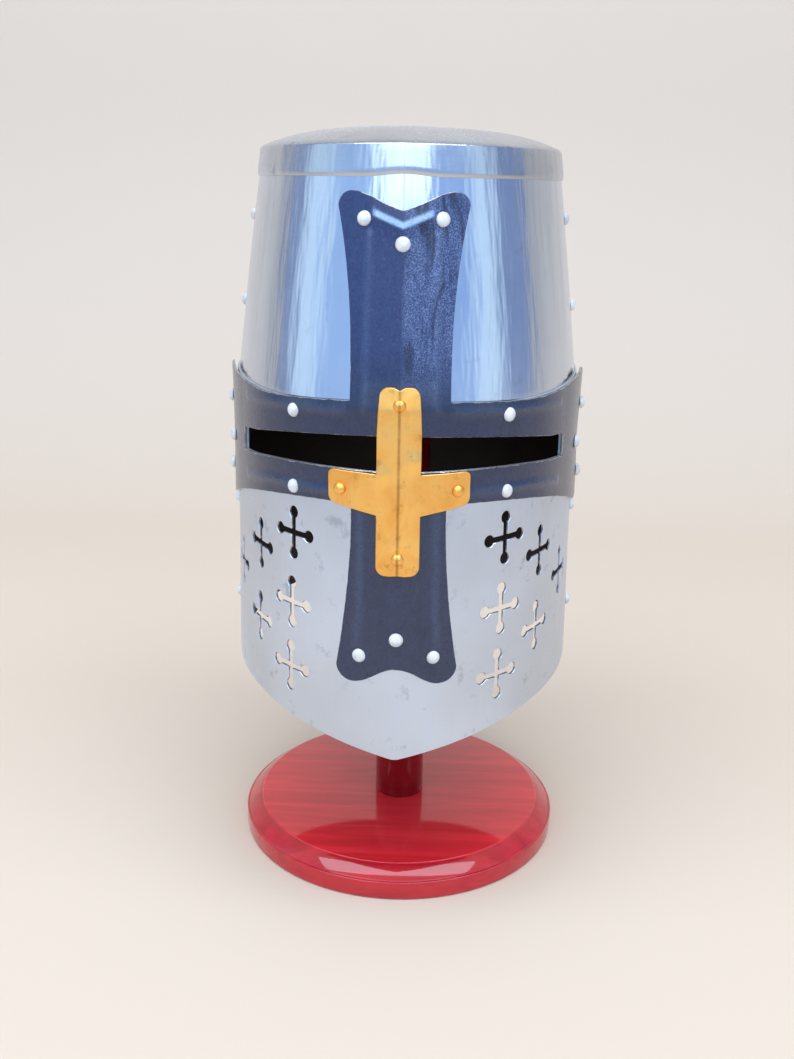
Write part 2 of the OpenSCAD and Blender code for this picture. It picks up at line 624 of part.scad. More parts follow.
// A tongue rises as a quarter of an ellipse from its seam on the band, and runs level past the lace.
tongue_z = liner_z + liner_band_h - 8;
tongue_out = liner_in - sheet_gap - lean(liner_z + liner_band_h) + lean(tongue_z);
tongue_level_r = lace_circle_r + 5;
tongue_tip_r = lace_circle_r - 8;
function tongue_turn(k) = (k + 0.5) * 360 / tongue_count;
function tongue_point(k, share, side, depth) =
    let (
        turn = tongue_turn(k),
        foot = wall(signed_turn(turn + side * tongue_half_turn), tongue_z, tongue_out),
        a = turn + side * 150 / tongue_count - 90,
        s = min(1, share),
        r = tongue_level_r + (tongue_tip_r - tongue_level_r) * max(0, share - 1),
        tip = r * [cos(a), sin(a)],
        in = 1 - cos(90 * s),
        way = [foot[0], foot[1]] / norm([foot[0], foot[1]]))
    [foot[0] + (tip[0] - foot[0]) * in - depth * cos(90 * s) * way[0],
        foot[1] + (tip[1] - foot[1]) * in - depth * cos(90 * s) * way[1],
        tongue_z + (lace_z - tongue_z) * sin(90 * s) - depth * sin(90 * s)];
module tongue(k) {
    rise = 8;
    steps = rise + 1;
    across = 4;
    pts = [for (depth = [0, leather_t]) for (i = [0:steps]) for (j = [0:across])
        tongue_point(k, min(i / rise, 1) + max(i - rise, 0), 2 * j / across - 1, depth)];
    w = across + 1;
    o = function (i, j) i * w + j;
    v = function (i, j) (steps + 1 + i) * w + j;
    bays = [for (i = [0:steps - 1], j = [0:across - 1]) [i, j]];
    polyhedron(pts, concat(
        flatten([for (b = bays) let (i = b[0], j = b[1])
            quad(o(i, j), o(i + 1, j), o(i + 1, j + 1), o(i, j + 1))]),
        flatten([for (b = bays) let (i = b[0], j = b[1])
            quad(v(i, j), v(i, j + 1), v(i + 1, j + 1), v(i + 1, j))]),
        flatten([for (i = [0:steps - 1]) quad(o(i, 0), v(i, 0), v(i + 1, 0), o(i + 1, 0))]),
        flatten([for (i = [0:steps - 1])
            quad(o(i, across), o(i + 1, across), v(i + 1, across), v(i, across))]),
        flatten([for (j = [0:across - 1]) quad(o(0, j), o(0, j + 1), v(0, j + 1), v(0, j))]),
        flatten([for (j = [0:across - 1])
            quad(o(steps, j), v(steps, j), v(steps, j + 1), o(steps, j + 1))])));
}
function lace_hole_angles(k) = [for (side = [-1, 1]) tongue_turn(k) - 90 + side * 90 / tongue_count];
module liner_tongues() color("sienna") for (k = [0:tongue_count - 1]) difference() {
    tongue(k);
    for (a = lace_hole_angles(k))
        translate([lace_circle_r * cos(a), lace_circle_r * sin(a), lace_z - 15])
            cylinder(d = 2 * lace_d + 2, h = 30);
}

// The lace runs over each tongue and under the gap to the next, through two holes in each
lace_wave = leather_t / 2 + lace_d / 2 + 0.5;
function lace_point(a) = [lace_circle_r * cos(a), lace_circle_r * sin(a),
    lace_z - leather_t / 2 + lace_wave * cos(tongue_count * (a + 90 - tongue_turn(0)))];
module liner_lace() color("tan") {
    n = 12 * tongue_count;
    sides = 6;
    rings = [for (i = [0:n - 1]) for (j = [0:sides - 1])
        let (a = 360 * i / n, p = lace_point(a), q = lace_point(a + 1), along = (q - p) / norm(q - p),
            out = [cos(a), sin(a), 0], up = cross(out, along) / norm(cross(out, along)), b = 360 * j / sides)
        p + lace_d / 2 * (cos(b) * out + sin(b) * up)];
    at = function (i, j) (i % n) * sides + j % sides;
    polyhedron(rings, flatten([for (i = [0:n - 1], j = [0:sides - 1])
        quad(at(i, j), at(i + 1, j), at(i + 1, j + 1), at(i, j + 1))]));
}

// The stand
block_top_z = lace_z - leather_t - lift_room - felt_t;
block_r = half_width - block_in;
module stand_base() color("darkred") difference() {
    r = base_d / 2;
    top_r = base_top_d / 2;
    cove = [r - base_step, base_edge_h];
    rotate_extrude($fn = 180) polygon(concat(
        [[0, 0], [r - 1.5, 0], [r, 1.5], [r, base_edge_h - 0.8], [r - 0.8, base_edge_h], cove],
        [for (i = [0:6]) [top_r + base_step + (cove[0] - top_r - base_step) * cos(15 * i),
            cove[1] + (base_t - base_step - cove[1]) * sin(15 * i)]],
        [[top_r, base_t - base_step], [top_r, base_t], [0, base_t]]));
    translate([0, 0, base_t - tenon_l]) cylinder(d = tenon_d + 2 * wood_room, h = tenon_l + 1);
    screw_room(0);
}
module screw_room(z) {
    translate([0, 0, z - 1]) cylinder(d = screw_d + 2 * shank_room, h = base_t + 2);
    translate([0, 0, z - 0.01]) cylinder(d1 = 2 * screw_d + 1, d2 = screw_d, h = 0.6 * screw_d);
}
module stand_post() color("maroon") difference() {
    union() {
        translate([0, 0, base_t]) cylinder(d = post_d, h = block_z - base_t);
        translate([0, 0, base_t - tenon_l + 0.5])
            cylinder(d = tenon_d, h = block_z - base_t + 2 * tenon_l - 1);
    }
    translate([0, 0, base_t - tenon_l]) cylinder(d = screw_d + 2 * shank_room, h = screw_l);
    translate([0, 0, block_z + tenon_l - screw_l]) cylinder(d = screw_d + 2 * shank_room, h = screw_l + 1);
}
module head_block() color("burlywood") difference() {
    round_r = 30;
    rotate_extrude($fn = 120) polygon(concat(
        [[0, block_z], [block_r - 3, block_z], [block_r, block_z + 3]],
        turned([block_r - round_r, block_top_z - round_r], round_r, 0, 90, 6),
        [[0, block_top_z]]));
    translate([0, 0, block_z - 1]) cylinder(d = tenon_d + 2 * wood_room, h = tenon_l + 1);
    cylinder(d = screw_d + 2 * shank_room, h = block_top_z + 1);
    translate([0, 0, block_top_z - 3]) cylinder(d = 2 * screw_d + 1, h = 4);
}
module block_felt() color("darkgreen") translate([0, 0, block_top_z])
    cylinder(r = lace_circle_r - lace_d / 2 - 1.5, h = felt_t);
module screw(l) {
    rotate_extrude() polygon([[0, 0], [screw_d, 0], [screw_d / 2, screw_d / 2], [screw_d / 2, l - screw_d],
        [0, l]]);
}
module base_screw() color("dimgray") screw(screw_l);
module block_screw() color("dimgray") translate([0, 0, block_top_z - 0.2]) mirror([0, 0, 1]) screw(screw_l);

crown_plate();
upper_front_plate();
upper_back_plate();
lower_front_plate();
lower_back_plate();
cross_plate();
brass_cross();
brass_rivets();
upper_arm_rivets();
lower_arm_rivets();
band_rivets();
band_end_rivets();
side_seam_rivets();
back_joint_rivets();
liner_band();
liner_tongues();
liner_lace();
stand_base();
stand_post();
head_block();
block_felt();
base_screw();
block_screw();
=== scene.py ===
# A great helm of riveted plates on its turned wooden stand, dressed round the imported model.
# Lengths are metres. The helmet's face looks along -Y, and +Z is up.
import math
import bpy
import numpy as np
from mathutils import Matrix, Vector, noise
from mathutils.geometry import delaunay_2d_cdt


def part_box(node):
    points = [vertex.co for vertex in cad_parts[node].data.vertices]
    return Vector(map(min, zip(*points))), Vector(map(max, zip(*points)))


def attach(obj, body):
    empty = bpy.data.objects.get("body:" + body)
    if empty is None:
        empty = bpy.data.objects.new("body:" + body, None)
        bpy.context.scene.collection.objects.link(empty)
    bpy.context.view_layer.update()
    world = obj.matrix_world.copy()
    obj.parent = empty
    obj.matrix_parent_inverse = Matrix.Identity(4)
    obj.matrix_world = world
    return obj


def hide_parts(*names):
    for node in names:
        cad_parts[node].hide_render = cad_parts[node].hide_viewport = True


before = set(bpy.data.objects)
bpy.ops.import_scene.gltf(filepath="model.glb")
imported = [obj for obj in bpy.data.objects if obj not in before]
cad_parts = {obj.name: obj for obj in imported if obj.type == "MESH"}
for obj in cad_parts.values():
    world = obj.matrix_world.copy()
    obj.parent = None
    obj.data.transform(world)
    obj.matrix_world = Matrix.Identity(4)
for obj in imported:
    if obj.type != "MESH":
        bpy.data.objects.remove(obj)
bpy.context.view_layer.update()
MM = 0.001

# Studio
# The camera stands at the photograph's place: in front, level with the helmet's top, looking down. The
# floor sweeps up into a plain pale backdrop. Two broad soft lamps stand behind the camera, one to each
# side, and a third hangs over the front of the helmet.
PHOTO_H = 1059
FOCAL_PX = 1200
CAMERA_AT = (0.0169, -0.7078, 0.423)
CAMERA_PITCH = 17.66
CAMERA_TURN = 1.7
CAMERA_ROLL = 0.9
SENSOR = 36.0
HELMET_MIDDLE = (0, 0, 0.27)

camera = bpy.data.objects.new("camera", bpy.data.cameras.new("camera"))
bpy.context.collection.objects.link(camera)
camera.location = CAMERA_AT
camera.rotation_euler = (Matrix.Rotation(math.radians(CAMERA_TURN), 3, "Z")
                         @ Matrix.Rotation(math.radians(90 - CAMERA_PITCH), 3, "X")
                         @ Matrix.Rotation(math.radians(CAMERA_ROLL), 3, "Z")).to_euler()
camera.data.sensor_width = SENSOR
camera.data.lens = FOCAL_PX / PHOTO_H * SENSOR
camera.data.clip_start = 0.02
camera.data.clip_end = 30
bpy.context.scene.camera = camera
bpy.context.scene.view_settings.view_transform = "Standard"


def lamp(name, at, size, power, colour):
    data = bpy.data.lights.new(name, "AREA")
    data.shape = "RECTANGLE"
    data.size, data.size_y = size
    data.energy = power
    data.color = colour
    light = bpy.data.objects.new(name, data)
    light.location = at
    light.rotation_euler = (Vector(HELMET_MIDDLE) - Vector(at)).to_track_quat("-Z", "Y").to_euler()
    bpy.context.collection.objects.link(light)


lamp("front_left", (-0.82, -1.75, 1.35), (1.7, 1.2), 10, (0.86, 0.98, 1.0))
lamp("front_right", (0.74, -1.75, 1.3), (1.5, 1.1), 8.5, (0.86, 0.98, 1.0))
lamp("overhead", (0.0, -0.58, 1.9), (3.0, 0.75), 33, (0.86, 0.92, 1.08))

# The sky is blue in front, brightest out to both sides, dimmer just behind them and a warm white behind
# and overhead. Its bands are given by their angle from the front, and show as streaks in polished plates.
world = bpy.data.worlds.new("studio")
bpy.context.scene.world = world
world.use_nodes = True
world.node_tree.nodes.clear()


def feed(tree, socket, value):
    """Sets an input of a node, or links it where the value is another node's output."""
    if isinstance(value, bpy.types.NodeSocket):
        tree.links.new(value, socket)
    else:
        socket.default_value = value


def put_node(tree, kind, inputs=None, **settings):
    made = tree.nodes.new(kind)
    for key, value in settings.items():
        setattr(made, key, value)
    for key, value in (inputs or {}).items():
        feed(tree, made.inputs[key], value)
    return made


def sky_node(kind, inputs=None, **settings):
    return put_node(world.node_tree, "ShaderNode" + kind, inputs, **settings)


WARM_SKY = (0.80, 0.70, 0.60)
BLUE_SKY = (0.51, 0.76, 1.20)
DEEPER_SKY = (0.42, 0.64, 1.10)
BRIGHT_SKY = (0.90, 1.15, 1.40)
DIM_SKY = (0.30, 0.40, 0.66)
GREY_SKY = (0.40, 0.42, 0.55)
SKY_BANDS = ((-180, WARM_SKY), (-128, WARM_SKY), (-116, GREY_SKY), (-102, DIM_SKY), (-93, BRIGHT_SKY),
             (-83, BRIGHT_SKY), (-75, BLUE_SKY), (0, BLUE_SKY), (62, DEEPER_SKY), (70, BRIGHT_SKY),
             (80, BRIGHT_SKY), (90, DIM_SKY), (108, DIM_SKY), (128, WARM_SKY), (180, WARM_SKY))
OVERHEAD_SKY = (0.78, 0.74, 0.68)
OVERHEAD_FROM = 0.5
OVERHEAD_FULL = 0.8
SKY_STRENGTH = 0.92

sky_axes = sky_node("SeparateXYZ", {0: sky_node("TexCoord").outputs["Generated"]}).outputs
forwards = sky_node("Math", {0: sky_axes["Y"], 1: -1.0}, operation="MULTIPLY").outputs[0]
sky_angle = sky_node("Math", {0: sky_axes["X"], 1: forwards}, operation="ARCTAN2").outputs[0]
sky_share = sky_node("MapRange", {"Value": sky_angle, "From Min": -math.pi, "From Max": math.pi})
bands = sky_node("ValToRGB", {"Fac": sky_share.outputs["Result"]})
for place, _ in SKY_BANDS[1:-1]:
    bands.color_ramp.elements.new(0.5 + place / 360)
for element, (place, colour) in zip(bands.color_ramp.elements, SKY_BANDS):
    element.position = 0.5 + place / 360
    element.color = (*colour, 1)
overhead = sky_node("MapRange", {"Value": sky_axes["Z"], "From Min": OVERHEAD_FROM,
                                 "From Max": OVERHEAD_FULL})
sky_colour = sky_node("Mix", {"Factor": overhead.outputs["Result"], "A": bands.outputs["Color"],
                              "B": (*OVERHEAD_SKY, 1)}, data_type="RGBA")
sky_light = sky_node("Background", {"Color": sky_colour.outputs["Result"], "Strength": SKY_STRENGTH})
sky_node("OutputWorld", {"Surface": sky_light.outputs[0]})

FLOOR_FRONT = -2.2
FLOOR_HALF = 2.6
WALL_Y = 1.1
WALL_TOP = 2.6
SWEEP_R = 0.5
SWEEP_STEPS = 15
PAPER_COLOUR = (0.695, 0.595, 0.485, 1)


def smooth_piece(name, points, faces, sharp_angle=None):
    """An object with a smooth mesh, kept sharp where its faces turn by more than the angle."""
    mesh = bpy.data.meshes.new(name)
    mesh.from_pydata(points, [], faces)
    mesh.polygons.foreach_set("use_smooth", [True] * len(faces))
    if sharp_angle:
        mesh.set_sharp_from_angle(angle=math.radians(sharp_angle))
    made = bpy.data.objects.new(name, mesh)
    bpy.context.collection.objects.link(made)
    return made


sweep = [(FLOOR_FRONT, 0.0), (0.0, 0.0), (WALL_Y - SWEEP_R, 0.0)]
for k in range(1, SWEEP_STEPS + 1):
    a = math.radians(90 * k / SWEEP_STEPS)
    sweep.append((WALL_Y - SWEEP_R + SWEEP_R * math.sin(a), SWEEP_R - SWEEP_R * math.cos(a)))
sweep.append((WALL_Y, WALL_TOP))
floor_points = [(x, y, z) for y, z in sweep for x in (-FLOOR_HALF, FLOOR_HALF)]
floor_faces = [(2 * i, 2 * i + 1, 2 * i + 3, 2 * i + 2) for i in range(len(sweep) - 1)]
floor = smooth_piece("floor", floor_points, floor_faces)
paper = bpy.data.materials.new("pale_paper")
paper.use_nodes = True
paper_inputs = paper.node_tree.nodes["Principled BSDF"].inputs
paper_inputs["Base Color"].default_value = PAPER_COLOUR
paper_inputs["Roughness"].default_value = 0.9
floor.data.materials.append(paper)


# Stand base
# A round base turned from one board, with a moulded edge, stained deep red under a thick glossy lacquer.
# The post stands in a socket in its top and is drawn down by a wood screw from below.
BASE_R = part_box("stand_base")[1][0]
BASE_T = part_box("stand_base")[1][2]
BASE_EDGE_H = 11.7 * MM
BASE_TOP_R = 90 * MM
BASE_STEP = 1.4 * MM
BASE_FOOT_ROUND = 1.6 * MM
BASE_EDGE_ROUND = 0.9 * MM
BASE_TOP_ROUND = 0.7 * MM
BASE_TOP_RING = 8 * MM
MOULDING_CURVE = 1.8
POST_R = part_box("stand_post")[1][0]
SOCKET_R = 10.1 * MM
SOCKET_DEPTH = 12 * MM
# Painted light and shade: the top's reds are lighter, against the helmet's shadow on it, and the edge's
# darker.
LIGHTENED_TOP_REDS = ((0.62, 0.014, 0.022), (0.84, 0.030, 0.042))
SHADED_EDGE_REDS = ((0.43, 0.008, 0.017), (0.58, 0.016, 0.029))


def arc(centre, r, a, b, n):
    return [(centre[0] + r * math.cos(math.radians(a + (b - a) * i / n)),
             centre[1] + r * math.sin(math.radians(a + (b - a) * i / n))) for i in range(n + 1)]


LATHE_SHARP_ANGLE = 38


def lathe(name, profile, around):
    """Turns a closed profile of (radius, height) pairs round Z. A radius of 0 makes a pole."""
    points = []
    rows = []
    for r, z in profile:
        if r == 0:
            rows.append([len(points)] * around)
            points.append((0, 0, z))
            continue
        rows.append(list(range(len(points), len(points) + around)))
        points += [(r * math.cos(2 * math.pi * k / around), r * math.sin(2 * math.pi * k / around), z)
                   for k in range(around)]
    faces = []
    for low, high in zip(rows, rows[1:]):
        for k in range(around):
            m = (k + 1) % around
            corners = [low[k], low[m], high[m], high[k]]
            faces.append([c for i, c in enumerate(corners) if c not in corners[:i]])
    return smooth_piece(name, points, [f for f in faces if len(f) > 2], LATHE_SHARP_ANGLE)


class Finish:
    """A material being built. Its nodes are added by kind, and a linked input is given as a socket."""

    def __init__(self, name):
        self.material = bpy.data.materials.new(name)
        self.material.use_nodes = True
        self.tree = self.material.node_tree
        self.shader = self.tree.nodes["Principled BSDF"]

    def node(self, kind, inputs=None, **settings):
        return put_node(self.tree, "ShaderNode" + kind, inputs, **settings)

    def principled(self, **inputs):
        for key, value in inputs.items():
            socket = self.shader.inputs[key.replace("_", " ").title().replace("Ior", "IOR")]
            feed(self.tree, socket, value)

    def place(self, scale=(1, 1, 1), turn=(0, 0, 0)):
        coords = self.node("TexCoord")
        made = self.node("Mapping", {"Vector": coords.outputs["Object"], "Scale": scale,
                                     "Rotation": [math.radians(a) for a in turn]})
        return made.outputs["Vector"]

    def noise(self, scale, detail=4.0, rough=0.55, place=None, distort=0.0):
        made = self.node("TexNoise", {"Scale": scale, "Detail": detail, "Roughness": rough,
                                      "Distortion": distort})
        feed(self.tree, made.inputs["Vector"], self.place() if place is None else place)
        return made.outputs["Fac"]

    def ramp(self, value, low, high, to_low=0.0, to_high=1.0):
        made = self.node("MapRange", {"Value": value, "From Min": low, "From Max": high,
                                      "To Min": to_low, "To Max": to_high})
        return made.outputs["Result"]

    def mix(self, share, a, b):
        """Blends two colours, each given as red, green and blue or as a socket."""
        sides = {key: side if isinstance(side, bpy.types.NodeSocket) else (*side, 1)
                 for key, side in (("A", a), ("B", b))}
        return self.node("Mix", {"Factor": share, **sides}, data_type="RGBA").outputs["Result"]

    def maths(self, operation, a, b=0.0):
        return self.node("Math", {0: a, 1: b}, operation=operation).outputs[0]

    def bump(self, height, depth, strength=1.0, under=None):
        made = self.node("Bump", {"Height": height, "Distance": depth, "Strength": strength})
        if under is not None:
            feed(self.tree, made.inputs["Normal"], under)
        return made.outputs["Normal"]


def red_lacquer(name, reds, grain_turn, edge_top=None, shaded_edge_reds=None):
    """Red stain under a thick clear coat, dark and light along the grain. Below edge_top, on the turned
    edge, it shows the second, darker reds: painted shade."""
    f = Finish(name)
    grain = f.noise(1.0, 5, 0.6, f.place((9, 120, 120), grain_turn), 0.6)
    pores = f.noise(1.0, 3, 0.7, f.place((60, 900, 900), grain_turn))
    figure = f.ramp(grain, 0.35, 0.68)
    stain = f.mix(figure, *reds)
    stain = f.mix(f.ramp(pores, 0.62, 0.78, 0, 0.35), stain, [0.35 * c for c in reds[0]])
    if shaded_edge_reds:
        height = f.node("SeparateXYZ", {"Vector": f.place()}).outputs["Z"]
        # Painted shade: the turned edge takes the darker reds.
        edge_shade = f.ramp(height, edge_top, edge_top - 1 * MM)
        stain = f.mix(edge_shade, stain, f.mix(figure, *shaded_edge_reds))
    waves = f.noise(26, 2)
    f.principled(base_color=stain, roughness=f.ramp(pores, 0.3, 0.7, 0.32, 0.42),
                 specular_ior_level=0.1, normal=f.bump(waves, 0.0012, 0.12),
                 coat_weight=1.0, coat_roughness=0.06, coat_ior=1.52)
    return f.material


moulding_r = BASE_TOP_R + BASE_STEP
moulding_run = BASE_R - BASE_STEP - moulding_r
moulding_rise = BASE_T - BASE_STEP - BASE_EDGE_H
moulding = [(moulding_r + moulding_run * math.cos(math.radians(a)) ** MOULDING_CURVE,
             BASE_EDGE_H + moulding_rise * math.sin(math.radians(a)) ** MOULDING_CURVE)
            for a in range(0, 91, 6)]
base_profile = [(0, 0), (BASE_R - BASE_FOOT_ROUND - 0.2 * MM, 0)]
base_profile += arc((BASE_R - BASE_FOOT_ROUND, BASE_FOOT_ROUND), BASE_FOOT_ROUND, -90, 0, 6)
base_profile += arc((BASE_R - BASE_EDGE_ROUND, BASE_EDGE_H - BASE_EDGE_ROUND), BASE_EDGE_ROUND, 0, 90, 5)
base_profile += moulding
base_profile += arc((BASE_TOP_R - BASE_TOP_ROUND, BASE_T - BASE_TOP_ROUND), BASE_TOP_ROUND, 0, 90, 5)
base_profile += [(POST_R + BASE_TOP_RING, BASE_T), (SOCKET_R, BASE_T)]
base_profile += [(SOCKET_R, BASE_T - SOCKET_DEPTH), (0, BASE_T - SOCKET_DEPTH)]
base = lathe("turned_base", base_profile, 192)
base.data.materials.append(red_lacquer("red_lacquered_base", LIGHTENED_TOP_REDS, (0, 0, 4), BASE_T, SHADED_EDGE_REDS))
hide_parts("stand_base")
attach(base, "stand")

# Post
# A plain turned rod, lacquered in a darker red than the base. Its tenons stand in sockets of the base
# and of the head block.
POST_TOP = 338 * MM
POST_EDGE_IN = 0.4 * MM
POST_EDGE_RUN = 0.6 * MM
POST_RINGS = (120 * MM, 240 * MM)
TENON_R = 10 * MM
TENON_GAP = 0.5 * MM
POST_REDS = ((0.16, 0.003, 0.006), (0.26, 0.006, 0.010))
tenon_low = BASE_T - SOCKET_DEPTH + TENON_GAP
tenon_high = POST_TOP + SOCKET_DEPTH - TENON_GAP
post_profile = [(0, tenon_low), (TENON_R, tenon_low), (TENON_R, BASE_T)]
post_profile += [(POST_R - POST_EDGE_IN, BASE_T), (POST_R, BASE_T + POST_EDGE_RUN)]
post_profile += [(POST_R, z) for z in POST_RINGS]
post_profile += [(POST_R, POST_TOP - POST_EDGE_RUN), (POST_R - POST_EDGE_IN, POST_TOP)]
post_profile += [(TENON_R, POST_TOP), (TENON_R, tenon_high), (0, tenon_high)]
post = lathe("turned_post", post_profile, 96)
post.data.materials.append(red_lacquer("red_lacquered_post", POST_REDS, (0, 90, 0)))
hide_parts("stand_post")
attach(post, "stand")

# Head block, felt and screws
# A plain turned block carries the helmet inside its crown, with a felt disc under the liner.
# Two wood screws on the post's axis hold the base and the block to it.
BLOCK_LOW, BLOCK_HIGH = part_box("head_block")
BLOCK_ROUND = 30 * MM
BLOCK_LOW_ROUND = 3 * MM
FELT_LOW, FELT_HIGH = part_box("block_felt")
FELT_SHOULDER = ((0, -1 * MM), (-0.6 * MM, -0.2 * MM), (-2 * MM, 0))


def bare_wood():
    f = Finish("turned_block_wood")
    rings = f.noise(1.0, 4, 0.6, f.place((80, 80, 7)), 1.2)
    f.principled(base_color=f.mix(f.ramp(rings, 0.3, 0.7), (0.36, 0.22, 0.11), (0.60, 0.42, 0.25)),
                 roughness=0.6, normal=f.bump(rings, 0.0004, 0.4))
    return f.material


def green_felt():
    f = Finish("green_felt")
    fuzz = f.noise(1400, 3, 0.7)
    f.principled(base_color=f.mix(f.ramp(fuzz, 0.35, 0.65), (0.02, 0.07, 0.04), (0.06, 0.16, 0.09)),
                 roughness=0.95, sheen_weight=0.5, normal=f.bump(fuzz, 0.0005, 0.7))
    return f.material


block_r = BLOCK_HIGH[0]
block_profile = [(0, BLOCK_LOW[2]), (block_r - BLOCK_LOW_ROUND, BLOCK_LOW[2])]
block_profile += arc((block_r - BLOCK_LOW_ROUND, BLOCK_LOW[2] + BLOCK_LOW_ROUND), BLOCK_LOW_ROUND,
                     -90, 0, 6)
block_profile += arc((block_r - BLOCK_ROUND, BLOCK_HIGH[2] - BLOCK_ROUND), BLOCK_ROUND, 0, 90, 16)
block_profile.append((0, BLOCK_HIGH[2]))
block = lathe("head_block_turned", block_profile, 96)
block.data.materials.append(bare_wood())
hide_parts("head_block")
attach(block, "stand")

felt_r = FELT_HIGH[0]
felt_profile = [(0, FELT_LOW[2]), (felt_r, FELT_LOW[2])]
felt_profile += [(felt_r + x, FELT_HIGH[2] + z) for x, z in FELT_SHOULDER] + [(0, FELT_HIGH[2])]
felt = lathe("felt_disc", felt_profile, 72)
felt.data.materials.append(green_felt())
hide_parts("block_felt")
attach(felt, "stand")


def dress(node, material):
    """Gives one of the model's own meshes a material."""
    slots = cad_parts[node].data.materials
    slots.clear()
    slots.append(material)


def plain_screw_steel():
    f = Finish("screw_steel")
    f.principled(base_color=(0.42, 0.42, 0.43, 1), metallic=1.0,
                 roughness=f.ramp(f.noise(300), 0.3, 0.7, 0.28, 0.45))
    return f.material


screw_steel = plain_screw_steel()
dress("base_screw", screw_steel)
dress("block_screw", screw_steel)

# Steel plates
# The helmet's wall is sheet steel bent to one plan: a keel in front, flatter cheeks, straight sides and
# a round back. Each plate is laid out flat, along the wall and up, cut with its openings, and then bent.
KEEL_TURN = 12.0
KEEL_END_TURN = 30.0
CHEEK_END_TURN = 62.0
FRONT_REACH = 125 * MM
HALF_WIDTH = 102 * MM
KEEL_R = 118 * MM
SIDE_R = 190 * MM
SHEET_T = 1.2 * MM
LAYER = 1.3 * MM
LEAN_Z = 299 * MM
RIM_FLARE = 0.012
LEAN_SLOPE = 0.11
LEAN_GROWTH = 0.14
KEEL_SOFT_RUN = 3.0 * MM
KEEL_SOFT_IN = 0.2 * MM
DENT_DEPTH = 0.22 * MM
DENT_SIZE = 55 * MM
EDGE_CHAMFER = 0.28 * MM
MM_PER_M = 1000


def facing(turn):
    """The way outwards at a turn of the wall: 0 is the front and 180 the back."""
    return np.array([math.sin(math.radians(turn)), -math.cos(math.radians(turn))])


keel_point = np.array([0.0, -FRONT_REACH])
keel_centre = keel_point - KEEL_R * facing(KEEL_TURN)
cheek_start = keel_centre + KEEL_R * facing(KEEL_END_TURN)
CHEEK_R = ((HALF_WIDTH - cheek_start[0] - SIDE_R * (1 - facing(CHEEK_END_TURN)[0]))
           / (facing(CHEEK_END_TURN)[0] - facing(KEEL_END_TURN)[0]))
cheek_centre = cheek_start - CHEEK_R * facing(KEEL_END_TURN)
side_centre = cheek_centre + (CHEEK_R - SIDE_R) * facing(CHEEK_END_TURN)
ARC_TURNS = (KEEL_TURN, KEEL_END_TURN, CHEEK_END_TURN, 90.0, 180.0)
ARC_RADII = (KEEL_R, CHEEK_R, SIDE_R, HALF_WIDTH)
ARC_CENTRES = (keel_centre, cheek_centre, side_centre, np.array([0.0, side_centre[1]]))
ARC_STARTS = [0.0]
for radius, turn_a, turn_b in zip(ARC_RADII, ARC_TURNS, ARC_TURNS[1:]):
    ARC_STARTS.append(ARC_STARTS[-1] + radius * math.radians(turn_b - turn_a))
HALF_ROUND = ARC_STARTS[-1]


def clamped(share):
    return min(1.0, max(0.0, share))


def lean(z):
    """How far the wall leans in at a height. Below LEAN_Z it flares outwards."""
    over = z - LEAN_Z
    return RIM_FLARE * over if over < 0 else LEAN_SLOPE * over + LEAN_GROWTH * over * over


def crease_turn(reach):
    return math.degrees(math.asin(-keel_centre[0] / (KEEL_R + reach)))


def along(turn):
    """Distance along the wall from the keel to a turn of the wall."""
    for i in range(4):
        if turn <= ARC_TURNS[i + 1]:
            return ARC_STARTS[i] + ARC_RADII[i] * math.radians(turn - ARC_TURNS[i])
    return HALF_ROUND


def turn_at(s):
    """The turn of the wall at a distance along it, past the back too."""
    s = min(s, 2 * HALF_ROUND - s)
    for i in range(4):
        if s <= ARC_STARTS[i + 1] + 1e-9:
            return ARC_TURNS[i] + math.degrees((s - ARC_STARTS[i]) / ARC_RADII[i])
    return 180.0


def along_at_x(x, z, out):
    """Distance along the wall at which a plate at a height has a place x in front of the face."""
    reach = out - lean(z)
    turn = math.degrees(math.asin(min(1.0, (abs(x) - keel_centre[0]) / (KEEL_R + reach))))
    start = crease_turn(reach)
    return math.copysign(ARC_STARTS[1] * (turn - start) / (KEEL_END_TURN - start), x)


def bend(s, z, out):
    """The place in space of a point s along the wall, at height z, out from the wall's face."""
    if abs(s) > HALF_ROUND:
        s -= math.copysign(2 * HALF_ROUND, s)
    a = abs(s)
    i = max(k for k in range(4) if a >= ARC_STARTS[k] or k == 0)
    reach = out - lean(z)
    first = crease_turn(reach) if i == 0 else ARC_TURNS[i]
    turn = first + (ARC_TURNS[i + 1] - first) * (a - ARC_STARTS[i]) / (ARC_STARTS[i + 1] - ARC_STARTS[i])
    dent = DENT_DEPTH * noise.noise(Vector((s / DENT_SIZE, z / DENT_SIZE, 4.0)))
    x, y = ARC_CENTRES[i] + (ARC_RADII[i] + reach + dent) * facing(turn)
    soft = KEEL_SOFT_IN * max(0.0, 1 - a / KEEL_SOFT_RUN) ** 2
    return (0.0 if a == 0 else math.copysign(x, s), y + soft, z)


def distance_to(points, loops):
    """How far each point is from the nearest edge of closed loops, and whether it lies inside them."""
    near = np.full(len(points), 1e9)
    inside = np.zeros(len(points), bool)
    for loop in loops:
        starts = np.array(loop)
        for (ax, ay), (bx, by) in zip(starts, np.roll(starts, -1, axis=0)):
            dx, dy = bx - ax, by - ay
            from_x = points[:, 0] - ax
            from_y = points[:, 1] - ay
            t = np.clip((from_x * dx + from_y * dy) / max(dx * dx + dy * dy, 1e-18), 0, 1)
            near = np.minimum(near, np.hypot(from_x - t * dx, from_y - t * dy))
            if ay != by:
                spans = (ay > points[:, 1]) != (by > points[:, 1])
                inside ^= spans & (points[:, 0] < ax + from_y * dx / dy)
    return near, inside


